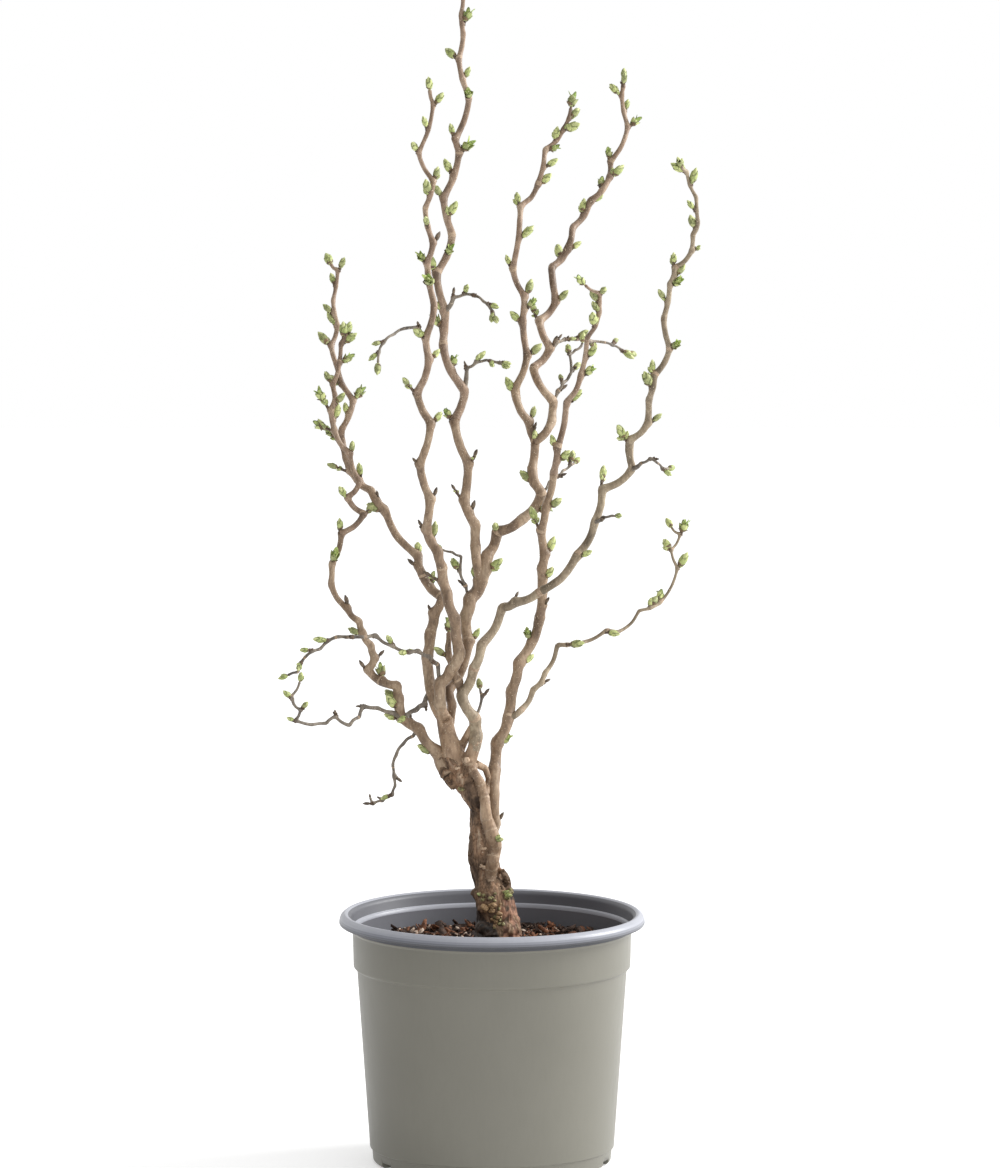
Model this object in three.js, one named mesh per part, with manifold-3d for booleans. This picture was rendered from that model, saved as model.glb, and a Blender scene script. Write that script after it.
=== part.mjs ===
// A potted corkscrew hazel at bud break, in millimetres, +Z up.
// The origin is the centre of the pot's flat underside, +X is to the right seen from the front,
// and the front looks along +Y. The plant is bare: its masses are sprays of budded twigs.
import * as THREE from "three";
import { mergeVertices } from "three/addons/utils/BufferGeometryUtils.js";
import Module from "manifold-3d";

const wasm = await Module();
wasm.setup();

// Driving sizes of the pot
const RIM_WIDTH = 190;
const POT_HEIGHT = 156;
const WALL = 1.4;
const FLOOR_THICK = 2.2;
const RIM_ROLL = 3.4;
const LIP_DEPTH = 6.2;
const LEDGE_DEPTH = 10.5;
const NECK_INSET = 8.1;
const SHOULDER_DEPTH = 35;
const SHOULDER_STEP = 2.2;
const SHOULDER_INSET = 9;
const FOOT_STEP_HEIGHT = 9;
const FOOT_STEP = 1.9;
const BASE_WIDTH = 148;
const NOTCH_COUNT = 8;
const NOTCH_WIDTH = 11;
const NOTCH_HEIGHT = 3.6;
const NOTCH_REACH = 8;
const NOTCH_TURN = 0.62;
const POT_SIDES = 40;

// The compost, which fills the pot to a finger's length below its rim
const COMPOST_DEPTH = 22.5;
const COMPOST_RISE = 3;
const COMPOST_LUMP = 2.4;
const COMPOST_RINGS = [0.38, 0.58, 0.8, 1];
const COMPOST_SIDES = 26;
const COMPOST_CLEAR = 0.65;
const SEAT_RADIUS = 23;
const SEAT_DEPTH = 2;
const SEAT_TOP = POT_HEIGHT - COMPOST_DEPTH - SEAT_DEPTH;

// Gaps between neighbours, and between the trunk's foot and the compost under it
const GAP = 0.3;

// The eye that the limbs are described from: where it is, how far down it looks, and the height
// in its picture, in a plane that is FOCAL from it, where its axis lies
const EYE = new THREE.Vector3(0, -8000, 1509);
const LOOKS_DOWN = 8.1;
const FOCAL = 8111.5;
const MIDDLE = 366.5;
const SQUASH = 0.986;

// The wood
const SWING = 0.17;
const BOW = 0.2;
const KNUCKLE = 1.14;
const TRUNK_SIDES = 8;
const BOUGH_SIDES = 6;
const SHOOT_SIDES = 4;
const TWIG_SIDES = 3;

// The buds
const BUD_LONG = 8.2;
const TWIG_BUD = 0.8;
const BUD_FAT = 0.46;
const BUD_SUNK = 0.9;
const BUD_SCATTER = 1.4;
const LEAST_TILT = 24;
const TILT_SPREAD = 22;
const SIDES = { l: [-1, 0, 0], r: [1, 0, 0], f: [0, -1, 0], t: [0, 0, 1] };
const SPUR_LONG = 5.5;
const SPUR_THICK = 1.9;
const SEED = 1863;

const COLOURS = {
  pot: 0x85847a,
  compost: 0x3a2a20,
  trunk: 0x7a5c48,
  bough: 0x8f7563,
  spray: 0x8c7a58,
};

// Each limb is a walk of internodes, [length, lean], as seen from the front. The lean is in degrees
// from upright, to the right. It starts at a bend of the limb it grows from, or at its own foot,
// [across, up]. back holds how far it lies behind the pot's axis, spread evenly from foot to tip,
// and thick its diameters, spread the same way. mass is the bend where the bough ends and its
// spray of twigs begins, and split one where the bough is in two. hand is the way the corkscrew
// turns. buds has a letter for each half internode from the foot: l, r, f and t for a bud to the
// left, right, front or top, capitals for one on a spur, and - for none. The tip always has one.
const LIMBS = {
  centre: {
    foot: [-27, 270], back: [4, 9, 14, 17, 20, 24], thick: [5.4, 5.2, 6.4, 8.0, 6.2, 5.8, 5.2],
    hand: 1,
    walk: [[17, 7], [10, -10], [17, 29], [16, 13], [15, -7], [12, 15], [13, 31], [16, 13],
      [17, 24], [17, 62], [20, 36], [16, -20], [18, 6]],
    buds: "---l---r-----lr--l--r-l--",
  },
  leader: {
    from: ["centre", 7], back: [17, 22, 26, 30], thick: [6.0, 5.4, 4.7, 3.7, 2.4], mass: 5,
    hand: -1,
    walk: [[22, -9], [14, -1], [17, -22], [23, 5], [28, -17], [20, 17], [31, -25], [22, 3],
      [24, -12], [26, 21], [24, -12], [30, 18], [9, -11], [27, 17], [25, -14], [16, 9],
      [12, -6], [11, 7]],
    buds: "----rL-R-l--r-ll-lf-rllr-l-frl--r--",
  },
  left_centre: {
    foot: [-29, 278], back: [-3, -7, -16, -26, -38, -50, -58],
    thick: [7.0, 6.6, 5.8, 4.8, 4.2, 3.2, 2.2], mass: 13, hand: 1,
    walk: [[11, -18], [12, 1], [11, 39], [12, 24], [21, -7], [17, -17], [17, -11], [10, -14],
      [16, -26], [19, 6], [23, -15], [26, 14], [21, -22], [22, 18], [14, -7], [21, 14],
      [27, -9], [13, 15], [22, -12], [18, 15], [20, -25], [31, 16], [10, -12]],
    buds: "------------L---rl-r-l-r-L-r-l--fl-rf-lr-llr-",
  },
  left: {
    foot: [-29, 276], back: [3, 7, 16, 28, 40, 52, 64],
    thick: [6.8, 6.4, 5.0, 4.4, 3.6, 2.9, 1.9], mass: 9, hand: -1,
    walk: [[22, -23], [21, -7], [15, 7], [13, 12], [11, 23], [18, -40], [13, -16], [35, -35],
      [15, -35], [10, -52], [16, -28], [18, -9], [20, 20], [24, -24], [13, -15], [13, 16],
      [16, -9], [19, 8], [6, -45]],
    buds: "-------l--r-lr-lr--rL-L-lrl--l-ll-lr-",
  },
  low_left: {
    foot: [-28, 243], back: [-2, 0, 5, 10, 16, 24, 32, 38],
    thick: [7.0, 5.6, 5.0, 4.2, 3.8, 3.6, 3.5, 3.3, 2.9, 2.2], split: 7, mass: 15, hand: 1,
    walk: [[16, -22], [18, -38], [13, -56], [12, -9], [8, -9], [10, -74], [11, -46], [8, 25],
      [8, -15], [9, -32], [8, -19], [11, -42], [18, -33], [13, 2], [20, 18], [18, 47],
      [14, -42], [12, 35], [19, -19], [17, -32], [13, -10], [9, 16], [8, -9], [14, 16], [12, 5],
      [7, 32]],
    buds: "rl-lrlll---t-l-r---l---r---f-l-r-l---r-LrLr--l-r-rl",
  },
  inner_right: {
    from: ["centre", 13], back: [28, 36, 46], thick: [5.0, 4.4, 3.8, 3.2, 2.2], mass: 4, hand: 1,
    walk: [[13, -18], [17, -27], [7, -2], [21, 19], [21, -7], [16, 3], [19, -21], [39, 7],
      [18, 36], [22, 12], [17, 41], [15, 19]],
    buds: "rr--l--r-lrr-lrl-rrrlrr",
  },
  right_centre: {
    from: ["centre", 13], back: [44, 68, 90, 110], thick: [5.2, 4.8, 4.2, 3.4, 2.2], mass: 3,
    hand: -1,
    walk: [[16, 39], [13, 4], [24, -30], [16, 38], [18, -19], [16, 37], [21, -6], [15, 39],
      [14, 15], [20, 33], [19, 38], [10, 6], [24, 25], [20, -10], [11, 6]],
    buds: "-------r-L-r--lr--lrlr-l-rrlf",
  },
  right: {
    foot: [-3, 200], back: [2, 9, 12, 10, 6, -6, -22, -38, -52],
    thick: [7.4, 6.8, 6.2, 5.6, 4.8, 4.0, 2.8, 1.7], mass: 13, hand: 1,
    walk: [[13, 17], [33, 1], [18, 5], [17, 25], [17, 7], [19, 14], [30, 25], [18, 6], [14, -2],
      [9, 11], [15, -7], [15, 10], [22, 13], [16, 9], [29, 11], [19, 27], [24, 10], [18, 25],
      [12, 1], [11, -60]],
    buds: "-r---r-----rl-r-r--r-L-r--rl-r-rr-lllr-",
  },
  low_right: {
    from: ["right", 4], back: [20, 36, 48], thick: [4.2, 2.9, 2.1, 1.8, 1.4], mass: 4, hand: -1,
    walk: [[9, 58], [15, 31], [13, 35], [19, 24], [12, 84], [20, 66], [8, 94], [18, 44],
      [14, 68], [24, 26], [12, -16], [11, 27], [7, -48]],
    buds: "----r---l--r----ll-r-l-r-",
  },
  far_right: {
    foot: [-14, 253], back: [-4, -8, -14, -26, -44, -62, -80, -95],
    thick: [8.0, 6.2, 5.2, 5.0, 4.6, 4.0, 3.5, 3.0, 2.5, 1.7], mass: 9, hand: -1,
    walk: [[15, 16], [11, -4], [17, -28], [18, 24], [16, 18], [26, 29], [9, 66], [17, 66],
      [32, 45], [24, 28], [21, 14], [22, 54], [13, -7], [6, 11], [15, 44], [14, 3], [16, 13],
      [19, 28], [19, -10], [22, 10], [11, 17], [15, 43], [10, 5], [8, 22], [16, -4], [17, -20],
      [5, -43]],
    buds: "-------------l---r---L----L--r--ll-r--lrrl-r--l-l-rl-",
  },
  inner_stub: {
    from: ["far_right", 3], back: [-1, 2], thick: [4.6, 4.2, 3.0], hand: 1,
    walk: [[9, -12], [11, -23], [11, -13], [10, 3]],
    buds: "-l--l--",
  },
};

// Side twigs. host names the spray that a twig is fused to: without one it is a spray of its own.
const TWIGS = {
  twig_on_left_centre: {
    from: ["left_centre", 15], host: "left_centre", back: [-52, -64], thick: [1.9, 1.4], hand: 1,
    walk: [[8, -37], [8, -95], [8, -118], [8, -129], [7, -154], [7, -175]],
    buds: "-r-----l-l-",
  },
  twig_on_leader: {
    from: ["leader", 8], host: "leader", back: [10, -4], thick: [2.0, 1.3], hand: -1,
    walk: [[10, 33], [7, 72], [6, 97], [7, 124], [6, 136], [6, 152]],
    buds: "-l-t-f--r-l",
  },
  low_twig_on_leader: {
    from: ["leader", 6], host: "leader", back: [10, 0], thick: [2.0, 1.3], hand: 1,
    walk: [[14, 7], [7, 56], [6, 79], [6, 101], [5, 112]],
    buds: "-l-t--l-r",
  },
  twig_on_right_centre: {
    from: ["right_centre", 4], host: "right_centre", back: [66, 84], thick: [2.0, 1.3], hand: 1,
    walk: [[6, 52], [5, 70], [7, 89], [9, 98], [8, 95], [6, 107], [7, 121], [5, 109]],
    buds: "-t-f-t-l---t-f-",
  },
  twig_on_far_right: {
    from: ["far_right", 12], host: "far_right", back: [-60, -48], thick: [1.9, 1.3], hand: -1,
    walk: [[7, 58], [6, 63], [5, 119], [5, 138], [4, 90]],
    buds: "---r---f-",
  },
  low_twig_on_far_right: {
    from: ["far_right", 10], host: "far_right", back: [-50, -56], thick: [1.8, 1.3], hand: 1,
    walk: [[6, 62], [5, 78], [3, 93]],
    buds: "-f---",
  },
  fork_twig: {
    from: ["right_centre", 2], back: [44, 52], thick: [1.9, 1.3], hand: 1,
    walk: [[7, 25], [6, 34], [6, 41], [4, 21], [5, -5], [5, -7], [4, 52], [4, 59], [3, 22]],
    buds: "-r-l---r---l-----",
  },
  crossing_twig: {
    from: ["centre", 11], back: [32, 40], thick: [1.8, 1.3], hand: -1,
    walk: [[9, 35], [6, 53], [5, 47], [6, 52], [3, 64]],
    buds: "---r---l-",
  },
  inner_twig: {
    from: ["centre", 6], back: [12, 10], thick: [2.0, 1.3], hand: 1,
    walk: [[9, -18], [10, -21], [9, 4], [6, -64], [7, -75]],
    buds: "-l-l-----",
  },
  long_left_twig: {
    from: ["left_centre", 2], back: [-12, -26, -44], thick: [2.6, 2.2, 2.0, 1.5], hand: 1,
    walk: [[12, -7], [7, -46], [8, -62], [6, -97], [11, -69], [12, -57], [6, -99], [18, -90],
      [13, -125], [10, -118], [11, -153], [7, -110]],
    buds: "--f--l-f-r-l--f-l-l-f--",
  },
  low_left_twig: {
    from: ["low_left", 3], back: [-20, -48, -72], thick: [2.6, 2.1, 1.9, 1.5], hand: -1,
    walk: [[6, -63], [10, -73], [9, -84], [7, -157], [8, -130], [10, -59], [7, -124], [9, -96],
      [10, -74], [7, 20], [6, -45], [5, -7], [10, 28]],
    buds: "-----l-----t-----l-r--l--",
  },
  hanging_twig: {
    from: ["low_left", 2], back: [14, 34], thick: [2.0, 1.8, 1.4], hand: 1,
    walk: [[6, -140], [8, -129], [8, -148], [7, -162], [7, 174], [6, 174], [6, -163], [7, -120],
      [6, -107], [4, -27]],
    buds: "---------r---l-t-l-",
  },
  link_twig: {
    from: ["left", 1], back: [-6, -8], thick: [3.0, 2.8], hand: 1,
    walk: [[10, -153], [6, -125], [8, -123]],
    buds: "-r---",
  },
  dead_twig: {
    from: ["far_right", 2], back: [4, 8], thick: [2.0, 1.3], hand: 1,
    walk: [[15, 17], [5, -14]],
    buds: "-r-",
  },
};

// The trunk is strands grown together, each a walk up from its foot.
const STRANDS = {
  main: {
    foot: [3, 137], back: [0, 1, 2, 1, 0, 0], hand: 1,
    thick: [30, 24, 18, 19.4, 15.8, 12, 15.4, 14, 11, 10],
    walk: [[20, -2], [18, -14], [17, -11], [18, -2], [14, -7], [17, -28], [16, -26], [16, -18],
      [11, -10]],
  },
  front: {
    foot: [-14, 253], back: [-4, -6, -8, -9, -9, -8, -6, -4], hand: 1,
    thick: [8, 7.6, 6.2, 6.6, 8.2, 8.4, 8.2, 8, 8],
    walk: [[8, 158], [9, 152], [10, 166], [12, 176], [9, 160], [9, 163], [7, 188], [7, 192],
      [9, 184]],
  },
  stump: {
    foot: [11, 140], back: [2, 3, 3], hand: 1, thick: [16, 11, 7],
    walk: [[22, -6], [14, -12]],
  },
  arch: {
    foot: [1, 184], back: [-1, -2, -3, -4], hand: 1, thick: [4.4, 3.8, 3.8, 4.8],
    walk: [[6, 105], [6, 150], [8, 175]],
  },
  left_knot: {
    foot: [-22, 236], back: [0, -2], hand: 1, thick: [8, 6.4],
    walk: [[9, -46]],
  },
  left_leg: {
    foot: [-21, 256], back: [2, 0, -3], hand: 1, thick: [6, 5, 4.6],
    walk: [[9, 25], [10, 28]],
  },
  bridge: {
    foot: [-10, 250], back: [-2, 2, 3, -4], hand: 1, thick: [5, 4.6, 4.6, 4.6],
    walk: [[6, 122], [7, 160], [9, 188]],
  },
};

// Burrs on the trunk: [across, up, back, radius]
const BURRS = [
  [10, 170, -4, 3.4], [-4, 159, -7, 5.2], [3, 154, -8, 4.6], [12, 151, 0, 5.4], [-9, 168, -2, 4.4],
  [-1, 185, -4, 5], [-14, 253, -5, 5.2],
];

function radians(degrees) {
  return (degrees * Math.PI) / 180;
}

function spread(values, share) {
  const place = Math.min(Math.max(share, 0), 1) * (values.length - 1);
  const low = Math.min(Math.floor(place), values.length - 2);
  return values[low] + (values[low + 1] - values[low]) * (place - low);
}

function seeded(seed) {
  let state = seed;
  return () => {
    state = (state * 16807) % 2147483647;
    return state / 2147483647;
  };
}

// The point that is seen at [across, up], at a distance behind the upright plane through the pot's
// axis. The eye looks down on the plant, so the higher a point is, the nearer it is to the eye.
function pushedBack([across, up], back) {
  const down = radians(LOOKS_DOWN);
  const height = EYE.z - EYE.y * Math.tan(Math.atan((up * SQUASH - MIDDLE) / FOCAL) - down);
  const away = -EYE.y * Math.cos(down) + (EYE.z - height) * Math.sin(down);
  const point = new THREE.Vector3((across * away) / FOCAL, 0, height);
  return point.add(point.clone().sub(EYE).multiplyScalar(back / -EYE.y));
}

const traced = {};

// Works out a limb's bends as seen, how far back each lies, and the path through them in space.
// Half way along, each internode swings to the front or the rear, and bows to the outside, because
// it sets off at a slant and then turns back to upright.
function trace(name, limb) {
  const parent = limb.from && traced[limb.from[0]];
  const start = parent ? parent.bends[limb.from[1]] : { seen: limb.foot, back: limb.back[0] };
  const backs = parent ? [start.back, ...limb.back] : limb.back;
  const count = limb.walk.length;
  const bends = [start];
  const path = [pushedBack(start.seen, start.back)];
  limb.walk.forEach(([length, lean], i) => {
    const last = bends[i].seen;
    const [across, up] = [Math.sin(radians(lean)), Math.cos(radians(lean))];
    const seen = [last[0] + length * across, last[1] + length * up];
    const back = spread(backs, (i + 1) / count);
    const bow = limb.buds ? BOW * length * across * up : 0;
    const middle = [(last[0] + seen[0]) / 2 + bow * up, (last[1] + seen[1]) / 2 - bow * across];
    const swing = SWING * length * limb.hand * (i % 2 ? -1 : 1);
    path.push(pushedBack(middle, (bends[i].back + back) / 2 + swing));
    path.push(pushedBack(seen, back));
    bends.push({ seen, back });
  });
  traced[name] = { ...limb, name, bends, path };
  return traced[name];
}

// The cross sections along a limb from one bend to another: place, direction and radius.
function sections(limb, first, last) {
  const rings = [];
  const { path } = limb;
  for (let i = 2 * first; i <= 2 * last; i += 1) {
    const ahead = path[Math.min(i + 1, path.length - 1)];
    const behind = path[Math.max(i - 1, 0)];
    const way = ahead.clone().sub(behind).normalize();
    const swelling = i % 2 === 0 && i > 0 && !limb.plain ? KNUCKLE : 1;
    const radius = (spread(limb.thick, i / (path.length - 1)) / 2) * swelling;
    rings.push({ at: path[i].clone(), way, radius });
  }
  return rings;
}

function solidFrom(positions, triangles) {
  const mesh = new wasm.Mesh({
    numProp: 3,
    vertProperties: new Float32Array(positions),
    triVerts: new Uint32Array(triangles),
  });
  return new wasm.Manifold(mesh);
}

// A closed tube of flat-ended rings, each square to its direction.
function tube(rings, sides, extra = 0) {
  const positions = [];
  const triangles = [];
  let side = new THREE.Vector3(0, -1, 0.2);
  rings.forEach(({ at, way, radius }) => {
    side = side.clone().addScaledVector(way, -side.dot(way)).normalize();
    const other = way.clone().cross(side);
    for (let k = 0; k < sides; k += 1) {
      const angle = (2 * Math.PI * k) / sides;
      const out = side.clone().multiplyScalar(Math.cos(angle)).addScaledVector(other, Math.sin(angle));
      positions.push(...at.clone().addScaledVector(out, radius + extra).toArray());
    }
  });
  for (let i = 0; i + 1 < rings.length; i += 1) {
    for (let k = 0; k < sides; k += 1) {
      const a = i * sides + k;
      const b = i * sides + ((k + 1) % sides);
      triangles.push(a, b, b + sides, a, b + sides, a + sides);
    }
  }
  const top = (rings.length - 1) * sides;
  for (let k = 1; k + 1 < sides; k += 1) {
    triangles.push(0, k + 1, k);
    triangles.push(top, top + k, top + k + 1);
  }
  return solidFrom(positions, triangles);
}

function largest(solid) {
  const pieces = solid.decompose();
  return pieces.reduce((best, piece) => (piece.volume() > best.volume() ? piece : best));
}

// One bud: a plump body with a square waist, pointed at both ends, that leans out along `way`.
function budSolid(base, way, long) {
  const bud = new THREE.OctahedronGeometry(1, 0);
  bud.scale((long * BUD_FAT) / 2, long / 2, (long * BUD_FAT) / 2);
  const turn = new THREE.Quaternion().setFromUnitVectors(new THREE.Vector3(0, 1, 0), way);
  const centre = base.clone().addScaledVector(way, long / 2 - BUD_SUNK);
  bud.applyMatrix4(new THREE.Matrix4().compose(centre, turn, new THREE.Vector3(1, 1, 1)));
  return asSolid(bud);
}

// The buds of a limb between two of its bends, as its letters say, and one at its tip.
function budsOf(limb, first, last) {
  const random = seeded(SEED + 97 * Object.keys(traced).indexOf(limb.name));
  const end = limb.path.length - 1;
  const found = [];
  for (let i = 1; i <= end; i += 1) {
    const [sideways, tip, size] = [random(), random(), random()];
    const letter = i === end ? "t" : limb.buds[i - 1];
    if (letter !== "-" && i > 2 * first && i <= 2 * last) {
      const here = limb.path[i];
      const way = limb.path[Math.min(i + 1, end)].clone().sub(limb.path[i - 1]).normalize();
      const outward = new THREE.Vector3(...SIDES[letter.toLowerCase()]);
      outward.y += (sideways - 0.5) * BUD_SCATTER;
      outward.addScaledVector(way, -outward.dot(way)).normalize();
      const tilt = radians(i === end ? 8 : LEAST_TILT + TILT_SPREAD * tip);
      const axis = way.clone().multiplyScalar(Math.cos(tilt)).addScaledVector(outward, Math.sin(tilt));
      const radius = spread(limb.thick, i / end) / 2;
      const base = here.clone().addScaledVector(outward, i === end ? 0 : radius * 0.8);
      const spur = letter < "a" ? SPUR_LONG : 0;
      const grown = (0.78 + 0.4 * size) * (limb.name in TWIGS ? TWIG_BUD : 1);
      found.push({ base, axis, long: BUD_LONG * grown, spur });
    }
  }
  return found;
}

function budded({ base, axis, long, spur }) {
  if (!spur) {
    return budSolid(base, axis, long);
  }
  const knee = base.clone().addScaledVector(axis, spur);
  const stalk = tube([
    { at: base, way: axis, radius: SPUR_THICK / 2 },
    { at: knee, way: axis, radius: SPUR_THICK / 2.4 },
  ], TWIG_SIDES);
  return stalk.add(budSolid(knee, axis, long * 0.85));
}

// The pot's inner wall from the ledge to the floor, as [radius, height]. It steps in at the shoulder.
function innerWall() {
  const shoulder = POT_HEIGHT - SHOULDER_DEPTH;
  const above = RIM_WIDTH / 2 - SHOULDER_INSET - WALL;
  return [
    [RIM_WIDTH / 2 - NECK_INSET - 2.2, POT_HEIGHT - LEDGE_DEPTH],
    [above, shoulder + 1.8],
    [above - SHOULDER_STEP, shoulder + 0.4],
    [BASE_WIDTH / 2 + FOOT_STEP - WALL, FOOT_STEP_HEIGHT + 2],
  ];
}

// The pot: a moulded wall with a rolled rim, a shoulder, a foot step, and notches in its lower edge.
function potSolid() {
  const rim = RIM_WIDTH / 2;
  const base = BASE_WIDTH / 2;
  const crest = POT_HEIGHT;
  const ledge = crest - LEDGE_DEPTH;
  const lip = crest - LIP_DEPTH;
  const shoulder = crest - SHOULDER_DEPTH;
  const neck = rim - NECK_INSET;
  const outside = [
    [0, 0],
    [base - 1.2, 0],
    [base, 1.2],
    [base + 0.6, FOOT_STEP_HEIGHT - 0.6],
    [base + FOOT_STEP, FOOT_STEP_HEIGHT],
    [rim - SHOULDER_INSET - SHOULDER_STEP, shoulder],
    [rim - SHOULDER_INSET, shoulder + 1.4],
    [neck - 0.4, ledge - 1],
    [neck + 0.6, ledge],
    [neck + 0.7, lip - 0.4],
    [rim - 1, lip - 1],
    [rim, lip],
    [rim - 1.1, crest - 1.9],
    [rim - RIM_ROLL, crest],
  ];
  const inside = [
    [rim - RIM_ROLL - 1.6, crest - 0.5],
    [rim - RIM_ROLL - 4, crest - 2.4],
    [neck - 0.9, ledge + 1.4],
    [neck - 2.2, ledge],
    ...innerWall(),
    [base - WALL - 0.6, FLOOR_THICK + 1.6],
    [base - 4.5, FLOOR_THICK],
    [0, FLOOR_THICK],
  ];
  const profile = [...outside, ...inside].map(([r, z]) => new THREE.Vector2(r, z));
  let pot = turned(profile);
  for (let k = 0; k < NOTCH_COUNT; k += 1) {
    const notch = new THREE.BoxGeometry(2 * NOTCH_REACH, NOTCH_WIDTH, 2 * NOTCH_HEIGHT);
    notch.translate(base, 0, 0);
    notch.rotateZ((2 * Math.PI * (k + NOTCH_TURN)) / NOTCH_COUNT);
    pot = pot.subtract(asSolid(notch));
  }
  return pot;
}

function asSolid(geometry) {
  const bare = geometry.clone();
  bare.deleteAttribute("normal");
  bare.deleteAttribute("uv");
  const welded = mergeVertices(bare, 1e-4);
  return solidFrom(welded.attributes.position.array, welded.index.array);
}

// Turns a profile of [radius, height] points about the pot's axis.
function turned(profile) {
  const lathe = new THREE.LatheGeometry(profile, POT_SIDES);
  lathe.rotateX(Math.PI / 2);
  const solid = asSolid(lathe);
  return solid.volume() > 0 ? solid : asSolid(flipped(lathe));
}

function flipped(geometry) {
  const index = geometry.index.array;
  for (let i = 0; i < index.length; i += 3) {
    [index[i], index[i + 1]] = [index[i + 1], index[i]];
  }
  return geometry;
}

// The radius of the pot's inner wall at a height.
function innerRadius(height) {
  const wall = innerWall();
  const k = Math.max(1, wall.findIndex(([, z]) => z <= height));
  const [[above, top], [below, foot]] = [wall[k - 1], wall[k]];
  return below + ((above - below) * (height - foot)) / (top - foot);
}

function compostSolid() {
  const sectors = COMPOST_SIDES;
  const surface = POT_HEIGHT - COMPOST_DEPTH;
  const edge = innerRadius(surface) - COMPOST_CLEAR;
  const floor = FLOOR_THICK + GAP;
  const positions = [0, 0, surface - SEAT_DEPTH];
  const triangles = [];
  const random = seeded(SEED);
  const top = COMPOST_RINGS.map((share) => (angle) => {
    const lump = (random() - 0.5) * COMPOST_LUMP;
    const rise = COMPOST_RISE * share ** 4 * (1 - 0.5 * Math.sin(angle));
    return [share * edge, surface + rise + lump];
  });
  const under = POT_HEIGHT - SHOULDER_DEPTH;
  const rings = [
    () => [SEAT_RADIUS, surface - SEAT_DEPTH],
    ...top,
    () => [edge, under + 6],
    () => [innerRadius(under) - COMPOST_CLEAR, under],
    () => [innerRadius(FOOT_STEP_HEIGHT + 2) - COMPOST_CLEAR, FOOT_STEP_HEIGHT + 2],
    () => [BASE_WIDTH / 2 - 6, floor],
  ];
  rings.forEach((ring) => {
    for (let k = 0; k < sectors; k += 1) {
      const angle = (2 * Math.PI * k) / sectors;
      const [radius, height] = ring(angle);
      positions.push(radius * Math.cos(angle), radius * Math.sin(angle), height);
    }
  });
  positions.push(0, 0, floor);
  const last = positions.length / 3 - 1;
  for (let k = 0; k < sectors; k += 1) {
    const next = (k + 1) % sectors;
    triangles.push(0, 1 + k, 1 + next);
    for (let i = 0; i + 1 < rings.length; i += 1) {
      const a = 1 + i * sectors;
      triangles.push(a + k, a + sectors + k, a + sectors + next, a + k, a + sectors + next, a + next);
    }
    const low = 1 + (rings.length - 1) * sectors;
    triangles.push(last, low + next, low + k);
  }
  return solidFrom(positions, triangles);
}

// The trunk: its strands and burrs joined, and cut flat at the level of the compost.
function trunkSolid(extra) {
  let trunk = null;
  Object.entries(STRANDS).forEach(([name, strand]) => {
    const limb = trace(`strand_${name}`, { ...strand, plain: true });
    const piece = tube(sections(limb, 0, strand.walk.length), TRUNK_SIDES, extra);
    trunk = trunk ? trunk.add(piece) : piece;
    delete traced[limb.name];
  });
  BURRS.forEach(([across, up, back, radius]) => {
    const burr = new THREE.IcosahedronGeometry(radius + extra, 1);
    const place = pushedBack([across, up], back);
    burr.translate(place.x, place.y, place.z);
    trunk = trunk.add(asSolid(burr));
  });
  const ground = new THREE.BoxGeometry(RIM_WIDTH, RIM_WIDTH, POT_HEIGHT);
  ground.translate(0, 0, SEAT_TOP + GAP - extra - POT_HEIGHT / 2);
  return largest(trunk.subtract(asSolid(ground)));
}

const trunk = trunkSolid(0);
const solids = { trunk };
const cutters = { trunk: trunkSolid(GAP) };

Object.entries(LIMBS).forEach(([name, limb]) => trace(name, limb));
Object.entries(TWIGS).forEach(([name, twig]) => trace(name, twig));

function nudged(rings) {
  rings[0].at.addScaledVector(rings[0].way, GAP);
  return rings;
}

const pieces = [];

Object.keys(LIMBS).forEach((name) => {
  const limb = traced[name];
  const count = limb.walk.length;
  const ends = [limb.split, limb.mass].filter(Boolean);
  const stages = [0, ...ends, count];
  for (let s = 0; s + 1 < stages.length; s += 1) {
    const isSpray = limb.mass === stages[s];
    const suffix = isSpray ? "spray" : ["bough", "upper_bough"][s];
    const rings = sections(limb, stages[s], stages[s + 1]);
    const sides = isSpray ? SHOOT_SIDES : BOUGH_SIDES;
    const node = `${name}_${suffix}`;
    const onTip = name === "inner_right" && s === 0;
    const solid = tube(s > 0 || onTip ? nudged(rings) : rings, sides);
    cutters[node] = tube(sections(limb, stages[s], stages[s + 1]), sides, GAP);
    pieces.push({ node, limb, first: stages[s], last: stages[s + 1], isSpray, solid });
  }
});

Object.keys(TWIGS).forEach((name) => {
  const twig = traced[name];
  const rings = sections(twig, 0, twig.walk.length);
  const solid = tube(rings, TWIG_SIDES);
  if (twig.host) {
    const spray = pieces.find(({ node }) => node === `${twig.host}_spray`);
    spray.solid = spray.solid.add(solid);
    spray.twigs = [...(spray.twigs || []), twig];
    cutters[spray.node] = cutters[spray.node].add(tube(rings, TWIG_SIDES, GAP));
    return;
  }
  cutters[name] = tube(rings, TWIG_SIDES, GAP);
  pieces.push({ node: name, limb: twig, first: 0, last: twig.walk.length, isSpray: true, solid });
});

function overlaps(one, other) {
  const a = one.boundingBox();
  const b = other.boundingBox();
  const isNear = [0, 1, 2].every((k) => a.min[k] < b.max[k] && b.min[k] < a.max[k]);
  return isNear && !one.intersect(other).isEmpty();
}

// Each piece is cut to lie just clear of those before it, which seats its foot on what it grows from.
pieces.forEach((piece, i) => {
  const before = ["trunk", ...pieces.slice(0, i).map(({ node }) => node)];
  const crossed = before.filter((node) => overlaps(piece.solid, cutters[node]));
  piece.solid = largest(crossed.reduce((left, node) => left.subtract(cutters[node]), piece.solid));
});

// A bud is fused to its limb unless it would touch a neighbour.
const placedBuds = [];

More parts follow.
